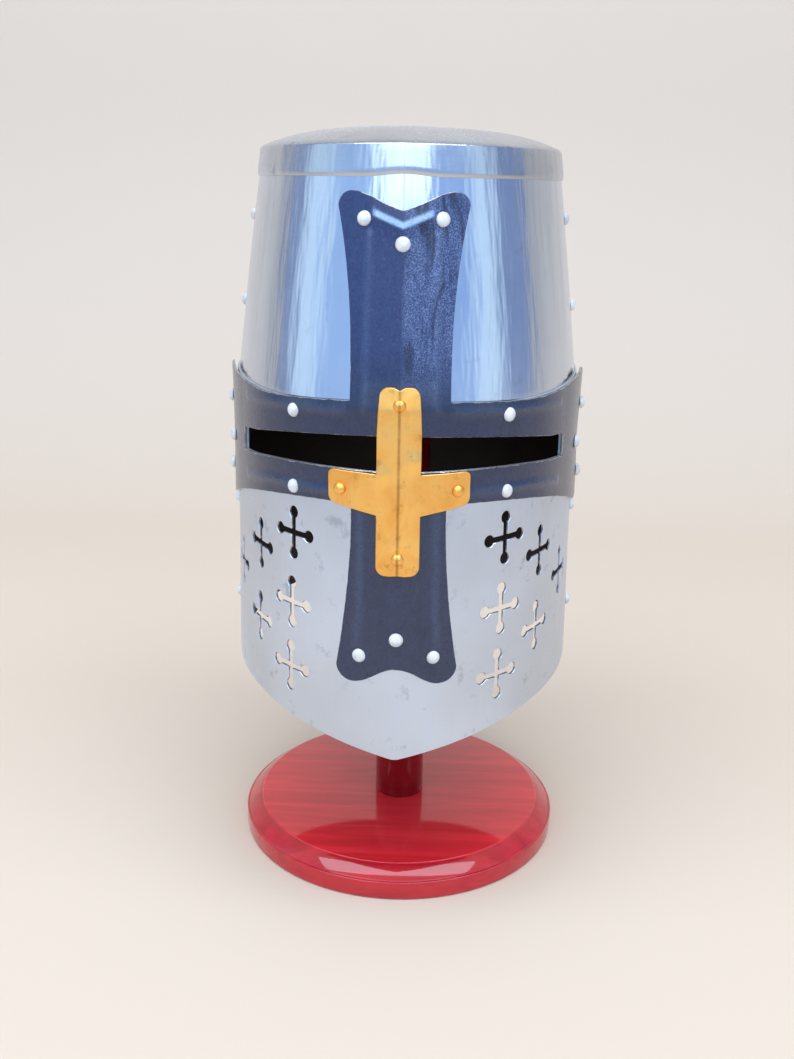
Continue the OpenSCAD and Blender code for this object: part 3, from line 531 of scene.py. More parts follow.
def spaced(loop, step):
    """The same closed loop with points no more than a step apart."""
    out = []
    for a, b in zip(loop, loop[1:] + loop[:1]):
        n = max(1, math.ceil(math.dist(a, b) / step))
        out += [(a[0] + (b[0] - a[0]) * k / n, a[1] + (b[1] - a[1]) * k / n) for k in range(n)]
    return out


def moved_in(loop, d):
    """A loop moved to its left, which is into the metal, by a small distance."""
    out = []
    n = len(loop)
    for i in range(n):
        a, p, b = (np.array(loop[j % n]) for j in (i - 1, i, i + 1))
        u = (p - a) / np.linalg.norm(p - a)
        v = (b - p) / np.linalg.norm(b - p)
        left = np.array([-u[1] - v[1], u[0] + v[0]])
        size = np.linalg.norm(left)
        left = left / size if size > 1e-6 else np.array([-u[1], u[0]])
        out.append(tuple(p + left * d / max(0.5, left @ np.array([-u[1], u[0]]))))
    return out


def plate(name, outline, holes, out, step, fine_s=(), fine_z=(), relief=None, marks=None):
    """A sheet cut from an outline with holes, both (along, height), bent with its face out from the wall.
    out is a distance or a function of height. relief(s, z) presses the sheet outwards, and marks(s, z) is
    kept on its face for the finish."""
    loops = [spaced(outline, step)] + [spaced(h, step) for h in holes]
    inset = [moved_in(loop, EDGE_CHAMFER) for loop in loops]
    low = np.min(np.array(loops[0]), axis=0)
    high = np.max(np.array(loops[0]), axis=0)
    columns, rows = (sorted({round(float(v), 7) for v in (*np.arange(low[i], high[i], step), *fine)})
                     for i, fine in enumerate((fine_s, fine_z)))
    grid = np.array([(s, z) for s in columns for z in rows])
    near, inside = distance_to(grid, loops)
    clear_of_edge = 0.45 * step
    grid = grid[inside & (near > clear_of_edge)]

    def face(s, z):
        level = out(z) if callable(out) else out
        return level + relief(s, z) if relief else level

    def filled(edges):
        """Points and triangles that fill the loops, worked out in millimetres, and the edge's points."""
        flat = [p for loop in edges for p in loop]
        sides = []
        for loop in edges:
            first = len(sides)
            sides += [(first + k, first + (k + 1) % len(loop)) for k in range(len(loop))]
        cloud = [Vector((float(s) * MM_PER_M, float(z) * MM_PER_M))
                 for s, z in flat + [tuple(g) for g in grid]]
        points, _, faces, source, _, _ = delaunay_2d_cdt(cloud, sides, [], 1, 1e-5)
        found = {}
        for new, olds in enumerate(source):
            for old in olds:
                found[old] = new
        points = [(p[0] / MM_PER_M, p[1] / MM_PER_M) for p in points]
        middles = np.array([np.mean([points[k] for k in f], axis=0) for f in faces])
        kept = distance_to(middles, edges)[1]
        return points, [f for f, keep in zip(faces, kept) if keep], [found[k] for k in range(len(flat))]

    front, front_faces, front_edge = filled(inset)
    back, back_faces, back_edge = filled(loops)
    flat_edge = [p for loop in loops for p in loop]
    verts = [bend(s, z, face(s, z)) for s, z in front]
    verts += [bend(s, z, face(s, z) - EDGE_CHAMFER) for s, z in flat_edge]
    verts += [bend(s, z, face(s, z) - SHEET_T) for s, z in back]
    edge_from = len(front)
    back_from = edge_from + len(flat_edge)
    faces = [tuple(f) for f in front_faces]
    faces += [tuple(back_from + k for k in reversed(f)) for f in back_faces]
    inner_range = (len(front_faces), len(faces))
    sharp = set()
    first = 0
    for loop in loops:
        n = len(loop)
        for k in range(n):
            a, b = first + k, first + (k + 1) % n
            faces.append((front_edge[b], front_edge[a], edge_from + a, edge_from + b))
            faces.append((edge_from + b, edge_from + a, back_from + back_edge[a], back_from + back_edge[b]))
            sharp.add(frozenset((front_edge[a], front_edge[b])))
            sharp.add(frozenset((edge_from + a, edge_from + b)))
            sharp.add(frozenset((back_from + back_edge[a], back_from + back_edge[b])))
        first += n
    made = smooth_piece(name, verts, faces)
    for edge in made.data.edges:
        if frozenset(edge.vertices) in sharp:
            edge.use_edge_sharp = True
    kept = {"from_edge": distance_to(np.array(front), loops)[0]}
    if marks:
        kept["painted_highlight"] = [marks(s, z) for s, z in front]
    for label, values in kept.items():
        padded = np.zeros(len(verts), np.float32)
        padded[:edge_from] = values
        made.data.attributes.new(label, "FLOAT", "POINT").data.foreach_set("value", padded)
    made["inner"] = inner_range
    return made


def line_inside(made, dark):
    """Gives the inner face of a plate its own finish."""
    made.data.materials.append(dark)
    low, high = made["inner"]
    del made["inner"]
    for k in range(low, high):
        made.data.polygons[k].material_index = 1


def steel(name, dark, light, rough, scratch_depth, spots, waviness):
    """Bare sheet steel: cloudy polish, shallow hammered waves, fine scratches mostly along the wall's
    height, and dull spots."""
    f = Finish(name)
    clouds = f.noise(11, 3, 0.5)
    upright = f.noise(1.0, 6, 0.65, f.place((420, 420, 14)))
    across = f.noise(1.0, 5, 0.6, f.place((60, 60, 700), (8, 4, 0)))
    marks = f.ramp(f.noise(90, 5, 0.65), 0.60, 0.72)
    tone = f.mix(f.ramp(clouds, 0.3, 0.7), dark, light)
    tone = f.mix(f.maths("MULTIPLY", marks, spots), tone, [0.62 * c for c in dark])
    fine = f.maths("ADD", f.maths("MULTIPLY", upright, 0.7), f.maths("MULTIPLY", across, 0.3))
    waves = f.bump(f.noise(1.0, 3, 0.5, f.place((70, 70, 8))), waviness)
    worn = f.ramp(f.maths("ADD", fine, clouds), 0.75, 1.25, rough[0], rough[1])
    worn = f.maths("ADD", worn, f.maths("MULTIPLY", marks, 0.12 * spots))
    f.principled(base_color=tone, metallic=1.0, roughness=worn,
                 normal=f.bump(fine, scratch_depth, 0.35, waves))
    return f.material


POLISHED_DARK = (0.52, 0.58, 0.68)
POLISHED_LIGHT = (0.66, 0.72, 0.81)
polished = steel("polished_steel", POLISHED_DARK, POLISHED_LIGHT, (0.11, 0.24), 0.00006, 0.2, 0.0009)
SATIN_DARK = (0.54, 0.60, 0.70)
SATIN_LIGHT = (0.66, 0.72, 0.82)
satin = steel("satin_steel", SATIN_DARK, SATIN_LIGHT, (0.30, 0.46), 0.00009, 0.6, 0.0006)


# The inner faces are near black: a blackened finish, with painted shade for the dark inside of the helmet.
def blackened_shaded_inside():
    f = Finish("blackened_shaded_inside")
    soot_and_shade = f.mix(f.ramp(f.noise(40), 0.3, 0.7), (0.005, 0.005, 0.005), (0.012, 0.011, 0.011))
    f.principled(base_color=soot_and_shade, roughness=0.55, metallic=0.3)
    return f.material


inside_black_shade = blackened_shaded_inside()

# Lower front plate
# The face plate below the brow: bent along the keel, its rim falling to a point in front. The sights are
# cut through its top, and twelve breath crosses with round ends are pierced in it, six on each side.
RIM_TIP_Z = 106.7 * MM
RIM_SIDE_Z = 120.6 * MM
RIM_BACK_Z = 132 * MM
RIM_RUN = 76 * MM
BROW_Z = 298.7 * MM
SEAM_TURN = 90.0
SIGHT_TOP_Z = 286.2 * MM
SIGHT_BOTTOM_Z = 267.1 * MM
SIGHT_TOP_FALL = 14.3 * MM
SIGHT_BOTTOM_FALL = 8.2 * MM
SIGHT_END_TURN = 68.0
SIGHT_BAR = 9.5 * MM
SIGHT_STEP = 3 * MM
BREATH_TURNS = (43.2, 59.6, 71.5)
BREATH_HEIGHTS = ((225.2, 185.2, 147), (210, 165.7), (187.8,))
BREATH_SKEW = 0.018
BREATH_SPAN = 23 * MM
BREATH_SLOT = 3.2 * MM
BREATH_END_R = 3.4 * MM
PLATE_STEP = 3.4 * MM
KEEL_STEP = 0.8 * MM


def rim_z(s):
    turn = turn_at(abs(s))
    x, y = bend(abs(s), LEAN_Z, 0)[:2]
    if turn > 90:
        return RIM_SIDE_Z + (RIM_BACK_Z - RIM_SIDE_Z) * (y - side_centre[1]) / HALF_WIDTH
    return RIM_TIP_Z + (RIM_SIDE_Z - RIM_TIP_Z) * min(1.0, x / RIM_RUN)


def stations(a, b, step):
    n = max(1, round(abs(b - a) / step))
    return [a + (b - a) * k / n for k in range(n + 1)]


def sight_hole(side):
    inner = along_at_x(SIGHT_BAR, SIGHT_BOTTOM_Z, 0)
    run = [(s, min(1.0, turn_at(s) / SIGHT_END_TURN))
           for s in stations(inner, along(SIGHT_END_TURN), SIGHT_STEP)]
    top = [(s, SIGHT_TOP_Z - SIGHT_TOP_FALL * share ** 2) for s, share in run]
    bottom = [(s, SIGHT_BOTTOM_Z - SIGHT_BOTTOM_FALL * share ** 3) for s, share in run]
    loop = top + bottom[::-1]
    return loop if side > 0 else [(-s, z) for s, z in loop][::-1]


def breath_cross(s, z):
    """One cross as a clockwise loop: four slots that end in rounds."""
    half = BREATH_SLOT / 2
    reach = BREATH_SPAN / 2
    open_angle = math.degrees(math.asin(half / BREATH_END_R))
    arm = [(reach + BREATH_END_R * math.cos(math.radians(a)), BREATH_END_R * math.sin(math.radians(a)))
           for a in np.linspace(180 - open_angle, -180 + open_angle, 15)]
    loop = []
    for k in range(4):
        quarter = math.radians(-90 * k)
        corner = (half, half)
        for x, y in [corner] + arm:
            loop.append((s + x * math.cos(quarter) - y * math.sin(quarter),
                         z + x * math.sin(quarter) + y * math.cos(quarter)))
    return loop


side_end = along(SEAM_TURN)
rim = [(s, rim_z(s)) for s in stations(-side_end, side_end, PLATE_STEP)]
face_holes = [sight_hole(1), sight_hole(-1)]
for row_turn, row_heights in zip(BREATH_TURNS, BREATH_HEIGHTS):
    for side in (-1, 1):
        for h in row_heights:
            skewed = row_turn - side * (BREATH_HEIGHTS[0][0] - h) * BREATH_SKEW
            face_holes.append(breath_cross(side * along(skewed), h * MM))
keel_columns = [k * KEEL_STEP for k in range(-4, 5)]
face_outline = rim + [(side_end, BROW_Z), (-side_end, BROW_Z)]
face_plate = plate("face_plate", face_outline, face_holes, 0.0, PLATE_STEP, keel_columns)
face_plate.data.materials.append(satin)
line_inside(face_plate, inside_black_shade)
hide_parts("lower_front_plate")
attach(face_plate, "helmet")

# Lower back plate
# A plain bent plate of the same satin steel, which closes the back below the brow. Its side edges are
# tucked under the face plate and riveted there.
SEAM_LAP_TURN = 8.0
SEAM_CLEAR_TURN = 1.6
BROW_LAP = 10 * MM
LAP_GAP = 0.2 * MM
back_start = along(SEAM_TURN - SEAM_LAP_TURN)
back_end = 2 * HALF_ROUND - back_start
lap_end = along(SEAM_TURN + SEAM_CLEAR_TURN)
lap_low = BROW_Z - BROW_LAP - LAP_GAP
back_rim = [(s, rim_z(min(s, 2 * HALF_ROUND - s))) for s in stations(back_start, back_end, PLATE_STEP)]
back_top = [(back_end, lap_low), (2 * HALF_ROUND - lap_end, lap_low), (2 * HALF_ROUND - lap_end, BROW_Z),
            (lap_end, BROW_Z), (lap_end, lap_low), (back_start, lap_low)]
neck_plate = plate("neck_plate", back_rim + back_top, [], -LAYER, PLATE_STEP)
neck_plate.data.materials.append(satin)
line_inside(neck_plate, inside_black_shade)
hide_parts("lower_back_plate")
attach(neck_plate, "helmet")

# Upper plates
# Two polished plates lean in towards the crown. The front one keeps the keel, and the back one is
# tucked under it at the sides. Both reach down inside the lower plates at the brow.
CROWN_EDGE_Z = 422.3 * MM
CROWN_TILT = 0.03
CREST_DROP = 4 * MM


def crown_edge(s):
    return CROWN_EDGE_Z - CROWN_TILT * bend(s, CROWN_EDGE_Z, 0)[1]


def under_crown(a, b):
    return [(s, crown_edge(s) - LAYER) for s in stations(a, b, PLATE_STEP)]


brow_low = BROW_Z - BROW_LAP
forehead_outline = [(-side_end, brow_low), (side_end, brow_low)] + under_crown(side_end, -side_end)
forehead_plate = plate("forehead_plate", forehead_outline, [], -LAYER, PLATE_STEP, keel_columns)
crest_low = brow_low - CREST_DROP
crest_outline = [(back_start, crest_low), (back_end, crest_low)] + under_crown(back_end, back_start)
crest_plate = plate("back_crest_plate", crest_outline, [], -2 * LAYER, PLATE_STEP)
for piece, node in ((forehead_plate, "upper_front_plate"), (crest_plate, "upper_back_plate")):
    piece.data.materials.append(polished)
    line_inside(piece, inside_black_shade)
    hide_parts(node)
    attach(piece, "helmet")

# Crown plate
# A shallow dome with its edge turned down over the upper plates. The flange ends in a ground bevel and
# rises a little over the keel.
CROWN_RISE = 10.7 * MM
FLANGE_DEPTH = 15.8 * MM
FLANGE_RISE = 1.4 * MM
FLANGE_RISE_RUN = 26 * MM
FLANGE_BEVEL = 3 * MM
CROWN_ROUND = 1.1 * MM
CROWN_STEP = 3 * MM
CROWN_GAP = 0.1 * MM
TUCK_TURN = 91
TUCK_RUN = 2
FLANGE_LIP = 0.35 * MM
CROWN_SHARP_ANGLE = 50
CROWN_DARK = (0.42, 0.45, 0.50)
DOME_SAG = 0.25 * MM
DOME_SAG_SCALE = 22
DOME_SHARES = (0.985, 0.03)
UNDER_SHARES = (0.03, 0.96)
crown_columns = [k * KEEL_STEP for k in (-2, -1, 0, 1, 2)]
crown_columns += stations(4 * KEEL_STEP, 2 * HALF_ROUND - 4 * KEEL_STEP, CROWN_STEP)


def crown_seat(s):
    """The flange lies on the front plate, and behind the side seams it steps in to the back plate."""
    tuck = clamped((turn_at(abs(s)) - TUCK_TURN) / TUCK_RUN)
    return -LAYER + CROWN_GAP - LAYER * tuck


def flange_edge(s):
    share = min(1.0, abs(bend(s, LEAN_Z, 0)[0]) / FLANGE_RISE_RUN)
    return crown_edge(s) - FLANGE_DEPTH + FLANGE_RISE * (1 + math.cos(math.pi * share)) / 2


def flange_point(s, up, out):
    return bend(s, flange_edge(s) + up, crown_seat(s) + out)


def edge_point(s, down, out):
    return bend(s, crown_edge(s) - down, crown_seat(s) + out)


def dome_point(s, share, down):
    x, y, z = edge_point(s, 0, SHEET_T)
    sag = DOME_SAG * noise.noise(Vector((x * share * DOME_SAG_SCALE, y * share * DOME_SAG_SCALE, 9)))
    rise = CROWN_RISE * (1 - share ** 3.5) + sag - down
    return (x * share, y * share, CROWN_EDGE_Z + (z - CROWN_EDGE_Z) * share + rise)


crown_rows = [(flange_point, 0.0, 0.0), (flange_point, 0.0, FLANGE_LIP)]
crown_rows += [(flange_point, FLANGE_BEVEL * k, SHEET_T * (0.35 + 0.65 * k ** 0.6))
               for k in (0.35, 0.7, 1.0)]
crown_rows.append((flange_point, FLANGE_BEVEL + 0.8 * MM, SHEET_T * 1.02))
crown_rows += [(edge_point, down, SHEET_T) for down in (8 * MM, 4 * MM, CROWN_ROUND)]
crown_rows += [(edge_point, CROWN_ROUND * (1 - math.sin(math.radians(a))),
                SHEET_T - CROWN_ROUND * (1 - math.cos(math.radians(a)))) for a in (22.5, 45, 67.5)]
crown_rows += [(dome_point, share, 0.0) for share in np.linspace(*DOME_SHARES, 30)]
outer_rows = len(crown_rows)
crown_rows += [(dome_point, share, SHEET_T) for share in np.linspace(*UNDER_SHARES, 14)]
crown_rows.append((edge_point, SHEET_T, 0.0))
crown_points = [point_at(s, first, second)
                for point_at, first, second in crown_rows for s in crown_columns]


def crown_corner(row, column):
    return (row % len(crown_rows)) * len(crown_columns) + column % len(crown_columns)


crown_faces = []
for row in range(len(crown_rows)):
    if row != outer_rows - 1:
        crown_faces += [(crown_corner(row, k), crown_corner(row, k + 1), crown_corner(row + 1, k + 1),
                         crown_corner(row + 1, k)) for k in range(len(crown_columns))]
top_pole = len(crown_points)
crown_points += [(0, 0, CROWN_EDGE_Z + CROWN_RISE), (0, 0, CROWN_EDGE_Z + CROWN_RISE - SHEET_T)]
for k in range(len(crown_columns)):
    crown_faces.append((crown_corner(outer_rows - 1, k), crown_corner(outer_rows - 1, k + 1), top_pole))
    crown_faces.append((crown_corner(outer_rows, k + 1), crown_corner(outer_rows, k), top_pole + 1))
crown = smooth_piece("crown", crown_points, crown_faces, CROWN_SHARP_ANGLE)
crown.data.materials.append(steel("crown_steel", CROWN_DARK, POLISHED_LIGHT, (0.15, 0.32),
                                  0.00006, 0.5, 0.0009))
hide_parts("crown_plate")
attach(crown, "helmet")

# Cross plate
# One plate cut as a cross with fishtail ends, bent over the keel and round the sides, pressed with fold
# lines, and painted blue-black. The paint is worn to bare steel along the edges.
UPPER_ARM_HALF = 25.6 * MM
LOWER_ARM_HALF = 24.6 * MM
FLARE_HALF = 32.4 * MM
UPPER_ARM_Z = 403 * MM
LOWER_ARM_Z = 150.2 * MM
UPPER_FLARE = 65 * MM
LOWER_FLARE = 82 * MM
LOBE_R = 7 * MM
LOWER_LOBE_R = 8.5 * MM
UPPER_NOTCH = 8.8 * MM
LOWER_NOTCH = 10 * MM
BAND_TOP_Z = 303.2 * MM
BAND_BOTTOM_Z = 249.2 * MM
BAND_FALL = 5.3 * MM
BAND_END_TOP_Z = 301 * MM
BAND_END_BOTTOM_Z = 222.5 * MM
BAND_END_IN = 23 * MM
BAND_SPRING = 3.2 * MM
SPRING_TURN = 69.0
SPRING_Z = 262 * MM
STEP_END_Z = BROW_Z + 14 * MM
CHEEK_Y = -0.56 * FRONT_REACH
CROSS_STEP = 1.5 * MM
BAND_STEP = 6 * MM
BAND_CORNER_IN = 10 * MM
BAND_LOW_END = 14 * MM
BAND_HIGH_END = 54 * MM
END_NOTCH_HALF = 1.5 * MM
END_NOTCH_DROP = 2 * MM
cross_out = LAYER
end_y = side_centre[1] - BAND_END_IN
end_middle = (BAND_END_TOP_Z + BAND_END_BOTTOM_Z) / 2 - END_NOTCH_DROP
root_y = bend(along_at_x(UPPER_ARM_HALF, LEAN_Z, 0), LEAN_Z, 0)[1]


def cross_face(z):
    """The cross plate lies on the lower plate, and steps in to the upper one above the brow."""
    return LAYER * (1 - clamped((z - BROW_Z) / (STEP_END_Z - BROW_Z)))


def spring(s, z):
    """How far the springy ends of the band stand off the face plate."""
    share = max(0.0, (turn_at(abs(s)) - SPRING_TURN) / (SEAM_TURN - SPRING_TURN))
    return BAND_SPRING * share * (0.5 + 0.5 * clamped((z - SPRING_Z) / (BROW_Z - SPRING_Z)))


def band_top(y):
    share = clamped((y + FRONT_REACH) / (FRONT_REACH + CHEEK_Y))
    return BAND_TOP_Z - BAND_FALL * math.sin(math.pi / 2 * share)


def band_bottom(y):
    share = max(0.0, (y + FRONT_REACH) / (end_y - BAND_CORNER_IN + FRONT_REACH))
    return BAND_BOTTOM_Z - (BAND_BOTTOM_Z - BAND_END_BOTTOM_Z) * share ** 1.55


def arm_edge(half, tip_z, flare_l, lobe_r, up, root_z, notch, blunt):
    """The right edge of an arm from the band out to the middle of its notch, as (x, height).
    blunt is 0 for a pointed notch and 1 for a rounded one."""
    lobe = (FLARE_HALF - lobe_r, tip_z - up * lobe_r)
    steps = 16
    edge = [(half, root_z)]
    edge += [(half + (FLARE_HALF - half) * (k / steps) ** 1.75, lobe[1] - up * flare_l * (1 - k / steps))
             for k in range(steps + 1)]
    edge += arc(lobe, lobe_r, 10 * up, 90 * up, 8)
    for k in range(1, steps + 1):
        sharp = (k / steps) ** 1.3
        soft = (1 - math.cos(math.pi * k / steps)) / 2
        edge.append((lobe[0] * (1 - k / steps), tip_z - up * notch * (sharp + (soft - sharp) * blunt)))
    return edge


def along_at_y(y, z, out):
    """Distance along the wall, on the cheek or the side, at which a plate has a place y."""
    reach = out - lean(z)
    for i in (2, 1, 0):
        ratio = (ARC_CENTRES[i][1] - y) / (ARC_RADII[i] + reach)
        if -1 < ratio < 1:
            turn = math.degrees(math.acos(ratio))
            if turn >= ARC_TURNS[i] or i == 0:
                return along(max(turn, KEEL_TURN))
    return 0.0


def laid_flat(points, face_at):
    """Points (x in front of the face, height) laid out along a plate whose face is given by height."""
    return [(along_at_x(x, z, face_at(z)) if x > 0 else 0.0, z) for x, z in points]


band_root = root_y + BAND_STEP / 2
band_low = [(y, band_bottom(y)) for y in stations(band_root, end_y - BAND_LOW_END, BAND_STEP)]
band_end = arc((end_y, BAND_END_BOTTOM_Z + LOBE_R), LOBE_R, -100, 60, 10)
band_end += [(end_y - LOBE_R, end_middle + side * END_NOTCH_HALF) for side in (-1, 1)]
band_end += arc((end_y, BAND_END_TOP_Z - LOBE_R), LOBE_R, -60, 100, 10)
band_high = [(y, band_top(y))
             for y in [end_y - BAND_HIGH_END] + stations(CHEEK_Y, band_root, BAND_STEP)]
lower_edge = arm_edge(LOWER_ARM_HALF, LOWER_ARM_Z, LOWER_FLARE, LOWER_LOBE_R, -1, band_bottom(root_y),
                      LOWER_NOTCH, 1.0)
upper_edge = arm_edge(UPPER_ARM_HALF, UPPER_ARM_Z, UPPER_FLARE, LOBE_R, 1, band_top(root_y),
                      UPPER_NOTCH, 0.5)
right_edge = laid_flat(lower_edge[::-1], cross_face)
right_edge += [(along_at_y(y, z, cross_out), z) for y, z in band_low + band_end + band_high]
right_edge += laid_flat(upper_edge, cross_face)
cross_outline = right_edge + [(-s, z) for s, z in right_edge[-2:0:-1]]

# Each pressed fold is a line of points, in millimetres along from the keel and up from the foot.
FOLD_HEIGHT = 0.7 * MM
FOLD_HALF = 2.0 * MM
V_FOLD_Z = 386 * MM
V_FOLD_SLOPE = 0.32
V_FOLD_HEIGHT = 1.2 * MM
V_FOLD_TOP_RUN = 3.0 * MM
V_FOLD_LOW_RUN = 5 * MM
V_FOLD_REACH = 17.5 * MM
V_FOLD_FADE = 2 * MM
V_FOLD_STEP = 0.6 * MM
FOLDS = (((21, 383), (20, 340), (19, 300)), ((20, 247), (20, 190), (21.5, 172)),
         ((30, 297), (80, 294), (115, 291)), ((30, 254), (80, 252), (115, 247)))


def v_fold(a, z):
    """The V pressed under the notch of the upper arm: a short slope above it and a long one below."""
    over = z - V_FOLD_Z - V_FOLD_SLOPE * a
    share = max(0.0, 1 - over / V_FOLD_TOP_RUN) if over > 0 else math.exp(over / V_FOLD_LOW_RUN)
    return V_FOLD_HEIGHT * share * clamped(1 - (a - V_FOLD_REACH) / V_FOLD_FADE)


def fold_share(a, z):
    """1 on the line of the nearest fold, falling to 0 beside it."""
    nearest = 1.0
    for fold in FOLDS:
        for (ax, az), (bx, bz) in zip(fold, fold[1:]):
            from_a, from_z = a - ax * MM, z - az * MM
            dx, dz = (bx - ax) * MM, (bz - az) * MM
            t = clamped((from_a * dx + from_z * dz) / (dx * dx + dz * dz))
            nearest = min(nearest, math.hypot(from_a - t * dx, from_z - t * dz))
    return math.exp(-(nearest / FOLD_HALF) ** 2)


def cross_relief(s, z):
    return FOLD_HEIGHT * fold_share(abs(s), z) + v_fold(abs(s), z) + spring(s, z)


def fold_highlight(s, z):
    """How much painted highlight the paint gets: fully on the V's short slope, a little along the folds."""
    a = abs(s)
    over = (z - V_FOLD_Z - V_FOLD_SLOPE * a) / V_FOLD_TOP_RUN
    reach = clamped(1 - (a - V_FOLD_REACH) / V_FOLD_FADE)
    return max(reach * clamped(1.6 - abs(over - 0.4) * 2.2), 0.06 * fold_share(a, z))


# The cross keeps how much painted highlight each point of its face gets.
v_fold_rows = [V_FOLD_Z + k * V_FOLD_STEP for k in range(-2, 14)]
cross = plate("painted_cross", cross_outline, [sight_hole(1), sight_hole(-1)], cross_face, CROSS_STEP,
              keel_columns, v_fold_rows, cross_relief, fold_highlight)


def blue_black_paint():
    f = Finish("blue_black_paint")
    peel = f.noise(420, 3, 0.5)
    wrinkle = f.noise(1.0, 6, 0.7, f.place((260, 260, 120)), 1.5)
    dust_and_sheen = f.noise(900, 4, 0.7)
    wear = f.noise(170, 5, 0.65)
    axes = f.node("SeparateXYZ", {"Vector": f.place()}).outputs
    upper = f.ramp(axes["Z"], 0.30, 0.33)
    right = f.ramp(axes["X"], -0.0005, 0.002)
    streaks = f.noise(1.0, 4, 0.6, f.place((80, 80, 14)), 1.2)
    right_upper_half = f.maths("MULTIPLY", upper, right)
    right_upper_grains = f.maths("MULTIPLY", right_upper_half, f.ramp(streaks, 0.40, 0.55, 0.25, 1.0))
    grains = f.ramp(f.noise(1500, 2, 0.5), 0.47, 0.60, 0.10, 1.0)
    painted_highlight = f.node("Attribute", attribute_name="painted_highlight").outputs["Fac"]
    edge = f.node("Attribute", attribute_name="from_edge").outputs["Fac"]
    reach = f.ramp(wear, 0.38, 0.70, 0.0, 0.0006)
    bare = f.maths("LESS_THAN", edge, reach)
    blue = f.mix(f.ramp(wrinkle, 0.40, 0.70), (0.010, 0.024, 0.100), (0.020, 0.040, 0.140))
    slate = f.mix(f.ramp(wrinkle, 0.40, 0.70), (0.008, 0.017, 0.050), (0.018, 0.030, 0.074))
    tone = f.mix(upper, slate, blue)
    # Light specks, mostly on the upper arm: painted glints of the wrinkled paint.
    speck_glints = f.maths("ADD", f.maths("MULTIPLY", upper, 0.45), 0.08)
    tone = f.mix(f.maths("MULTIPLY", f.ramp(dust_and_sheen, 0.62, 0.74), speck_glints), tone, (0.20, 0.24, 0.33))
    # Darker streaks and light grains on the upper arm's right half.
    tone = f.mix(f.maths("MULTIPLY", right_upper_half, f.ramp(streaks, 0.47, 0.41)), tone, (0.004, 0.008, 0.035))
    tone = f.mix(f.maths("MULTIPLY", right_upper_grains, grains), tone, (0.12, 0.175, 0.34))
    # A painted highlight on the V's short slope and, faintly, along the folds.
    painted_fold_highlight = f.maths("MULTIPLY", painted_highlight, f.ramp(dust_and_sheen, 0.35, 0.55, 0.6, 1.0))
    tone = f.mix(painted_fold_highlight, tone, (0.26, 0.42, 0.72))
    tone = f.mix(bare, tone, (0.42, 0.42, 0.43))
    height_map = f.maths("ADD", peel, f.maths("MULTIPLY", f.maths("MULTIPLY", wrinkle, upper), 2.2))
    f.principled(base_color=tone, metallic=bare, roughness=f.ramp(dust_and_sheen, 0.3, 0.7, 0.24, 0.36),
                 normal=f.bump(height_map, 0.00022, 0.5), coat_weight=0.35, coat_roughness=0.12)
    return f.material


cross.data.materials.append(blue_black_paint())
line_inside(cross, inside_black_shade)
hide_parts("cross_plate")
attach(cross, "helmet")

# Brass cross
# A small cross of sheet brass laid over the painted one, with rounded corners, two shallow dents and a
# ridge down the keel. It is tarnished in blotches, and painted shade darkens it along the ridge.
BRASS_HALF = 11.3 * MM
BRASS_TOP_Z = 310.2 * MM
BRASS_BOTTOM_Z = 212.6 * MM
BRASS_REACH = 36.5 * MM
BRASS_BAR_TOP = SIGHT_BOTTOM_Z - 0.9 * MM
BRASS_BAR_H = 21.7 * MM
BRASS_BAR_END_H = 18.3 * MM
BRASS_CORNER = 4.7 * MM
BRASS_NOTCH = 1.4 * MM
BRASS_DENTS = ((-8 * MM, 266 * MM), (8 * MM, 273 * MM))
BRASS_DENT = 0.7 * MM
BRASS_DENT_R = 4 * MM
BRASS_BAR_CORNER = 0.6 * BRASS_CORNER
BRASS_LIFT = 0.2 * MM
BRASS_HAMMER = 0.18 * MM
BRASS_HAMMER_SCALE = 90
BRASS_RIDGE = 0.35 * MM
BRASS_RIDGE_HALF = 1.3 * MM
BRASS_STEP = 1.3 * MM
top_half = BRASS_HALF - 1 * MM
outer_low = BRASS_BAR_TOP - BRASS_BAR_END_H
brass_right = [(0.0, BRASS_BOTTOM_Z + BRASS_NOTCH / 2), (BRASS_HALF / 3, BRASS_BOTTOM_Z)]
brass_right += arc((BRASS_HALF - BRASS_CORNER, BRASS_BOTTOM_Z + BRASS_CORNER), BRASS_CORNER, -90, 0, 6)
brass_right += [(BRASS_HALF, BRASS_BAR_TOP - BRASS_BAR_H)]
brass_right += arc((BRASS_REACH - BRASS_CORNER, outer_low + BRASS_CORNER), BRASS_CORNER, -90, 0, 6)
brass_right += arc((BRASS_REACH - BRASS_BAR_CORNER, BRASS_BAR_TOP - BRASS_BAR_CORNER), BRASS_BAR_CORNER,
                   0, 90, 5)
brass_right += [(BRASS_HALF, BRASS_BAR_TOP), (BRASS_HALF, BRASS_TOP_Z - 22 * MM)]
brass_right += arc((top_half - BRASS_CORNER, BRASS_TOP_Z - BRASS_CORNER), BRASS_CORNER, 5, 90, 6)
brass_right += [(BRASS_HALF / 4, BRASS_TOP_Z), (0.0, BRASS_TOP_Z - BRASS_NOTCH)]


def brass_face(z):
    return cross_face(z) + LAYER


brass_flat = laid_flat(brass_right, brass_face)
brass_outline = brass_flat + [(-s, z) for s, z in brass_flat[-2:0:-1]]


def brass_relief(s, z):
    hammer = BRASS_HAMMER * noise.noise(Vector((s * BRASS_HAMMER_SCALE, z * BRASS_HAMMER_SCALE, 2)))
    ridge = BRASS_RIDGE * math.exp(-(s / BRASS_RIDGE_HALF) ** 2)
    dents = sum(BRASS_DENT * math.exp(-((s - at_s) ** 2 + (z - at_z) ** 2) / BRASS_DENT_R ** 2)
                for at_s, at_z in BRASS_DENTS)
    return BRASS_LIFT + hammer + ridge + dents


brass = plate("brass_face_cross", brass_outline, [], brass_face, BRASS_STEP, keel_columns,
              relief=brass_relief)


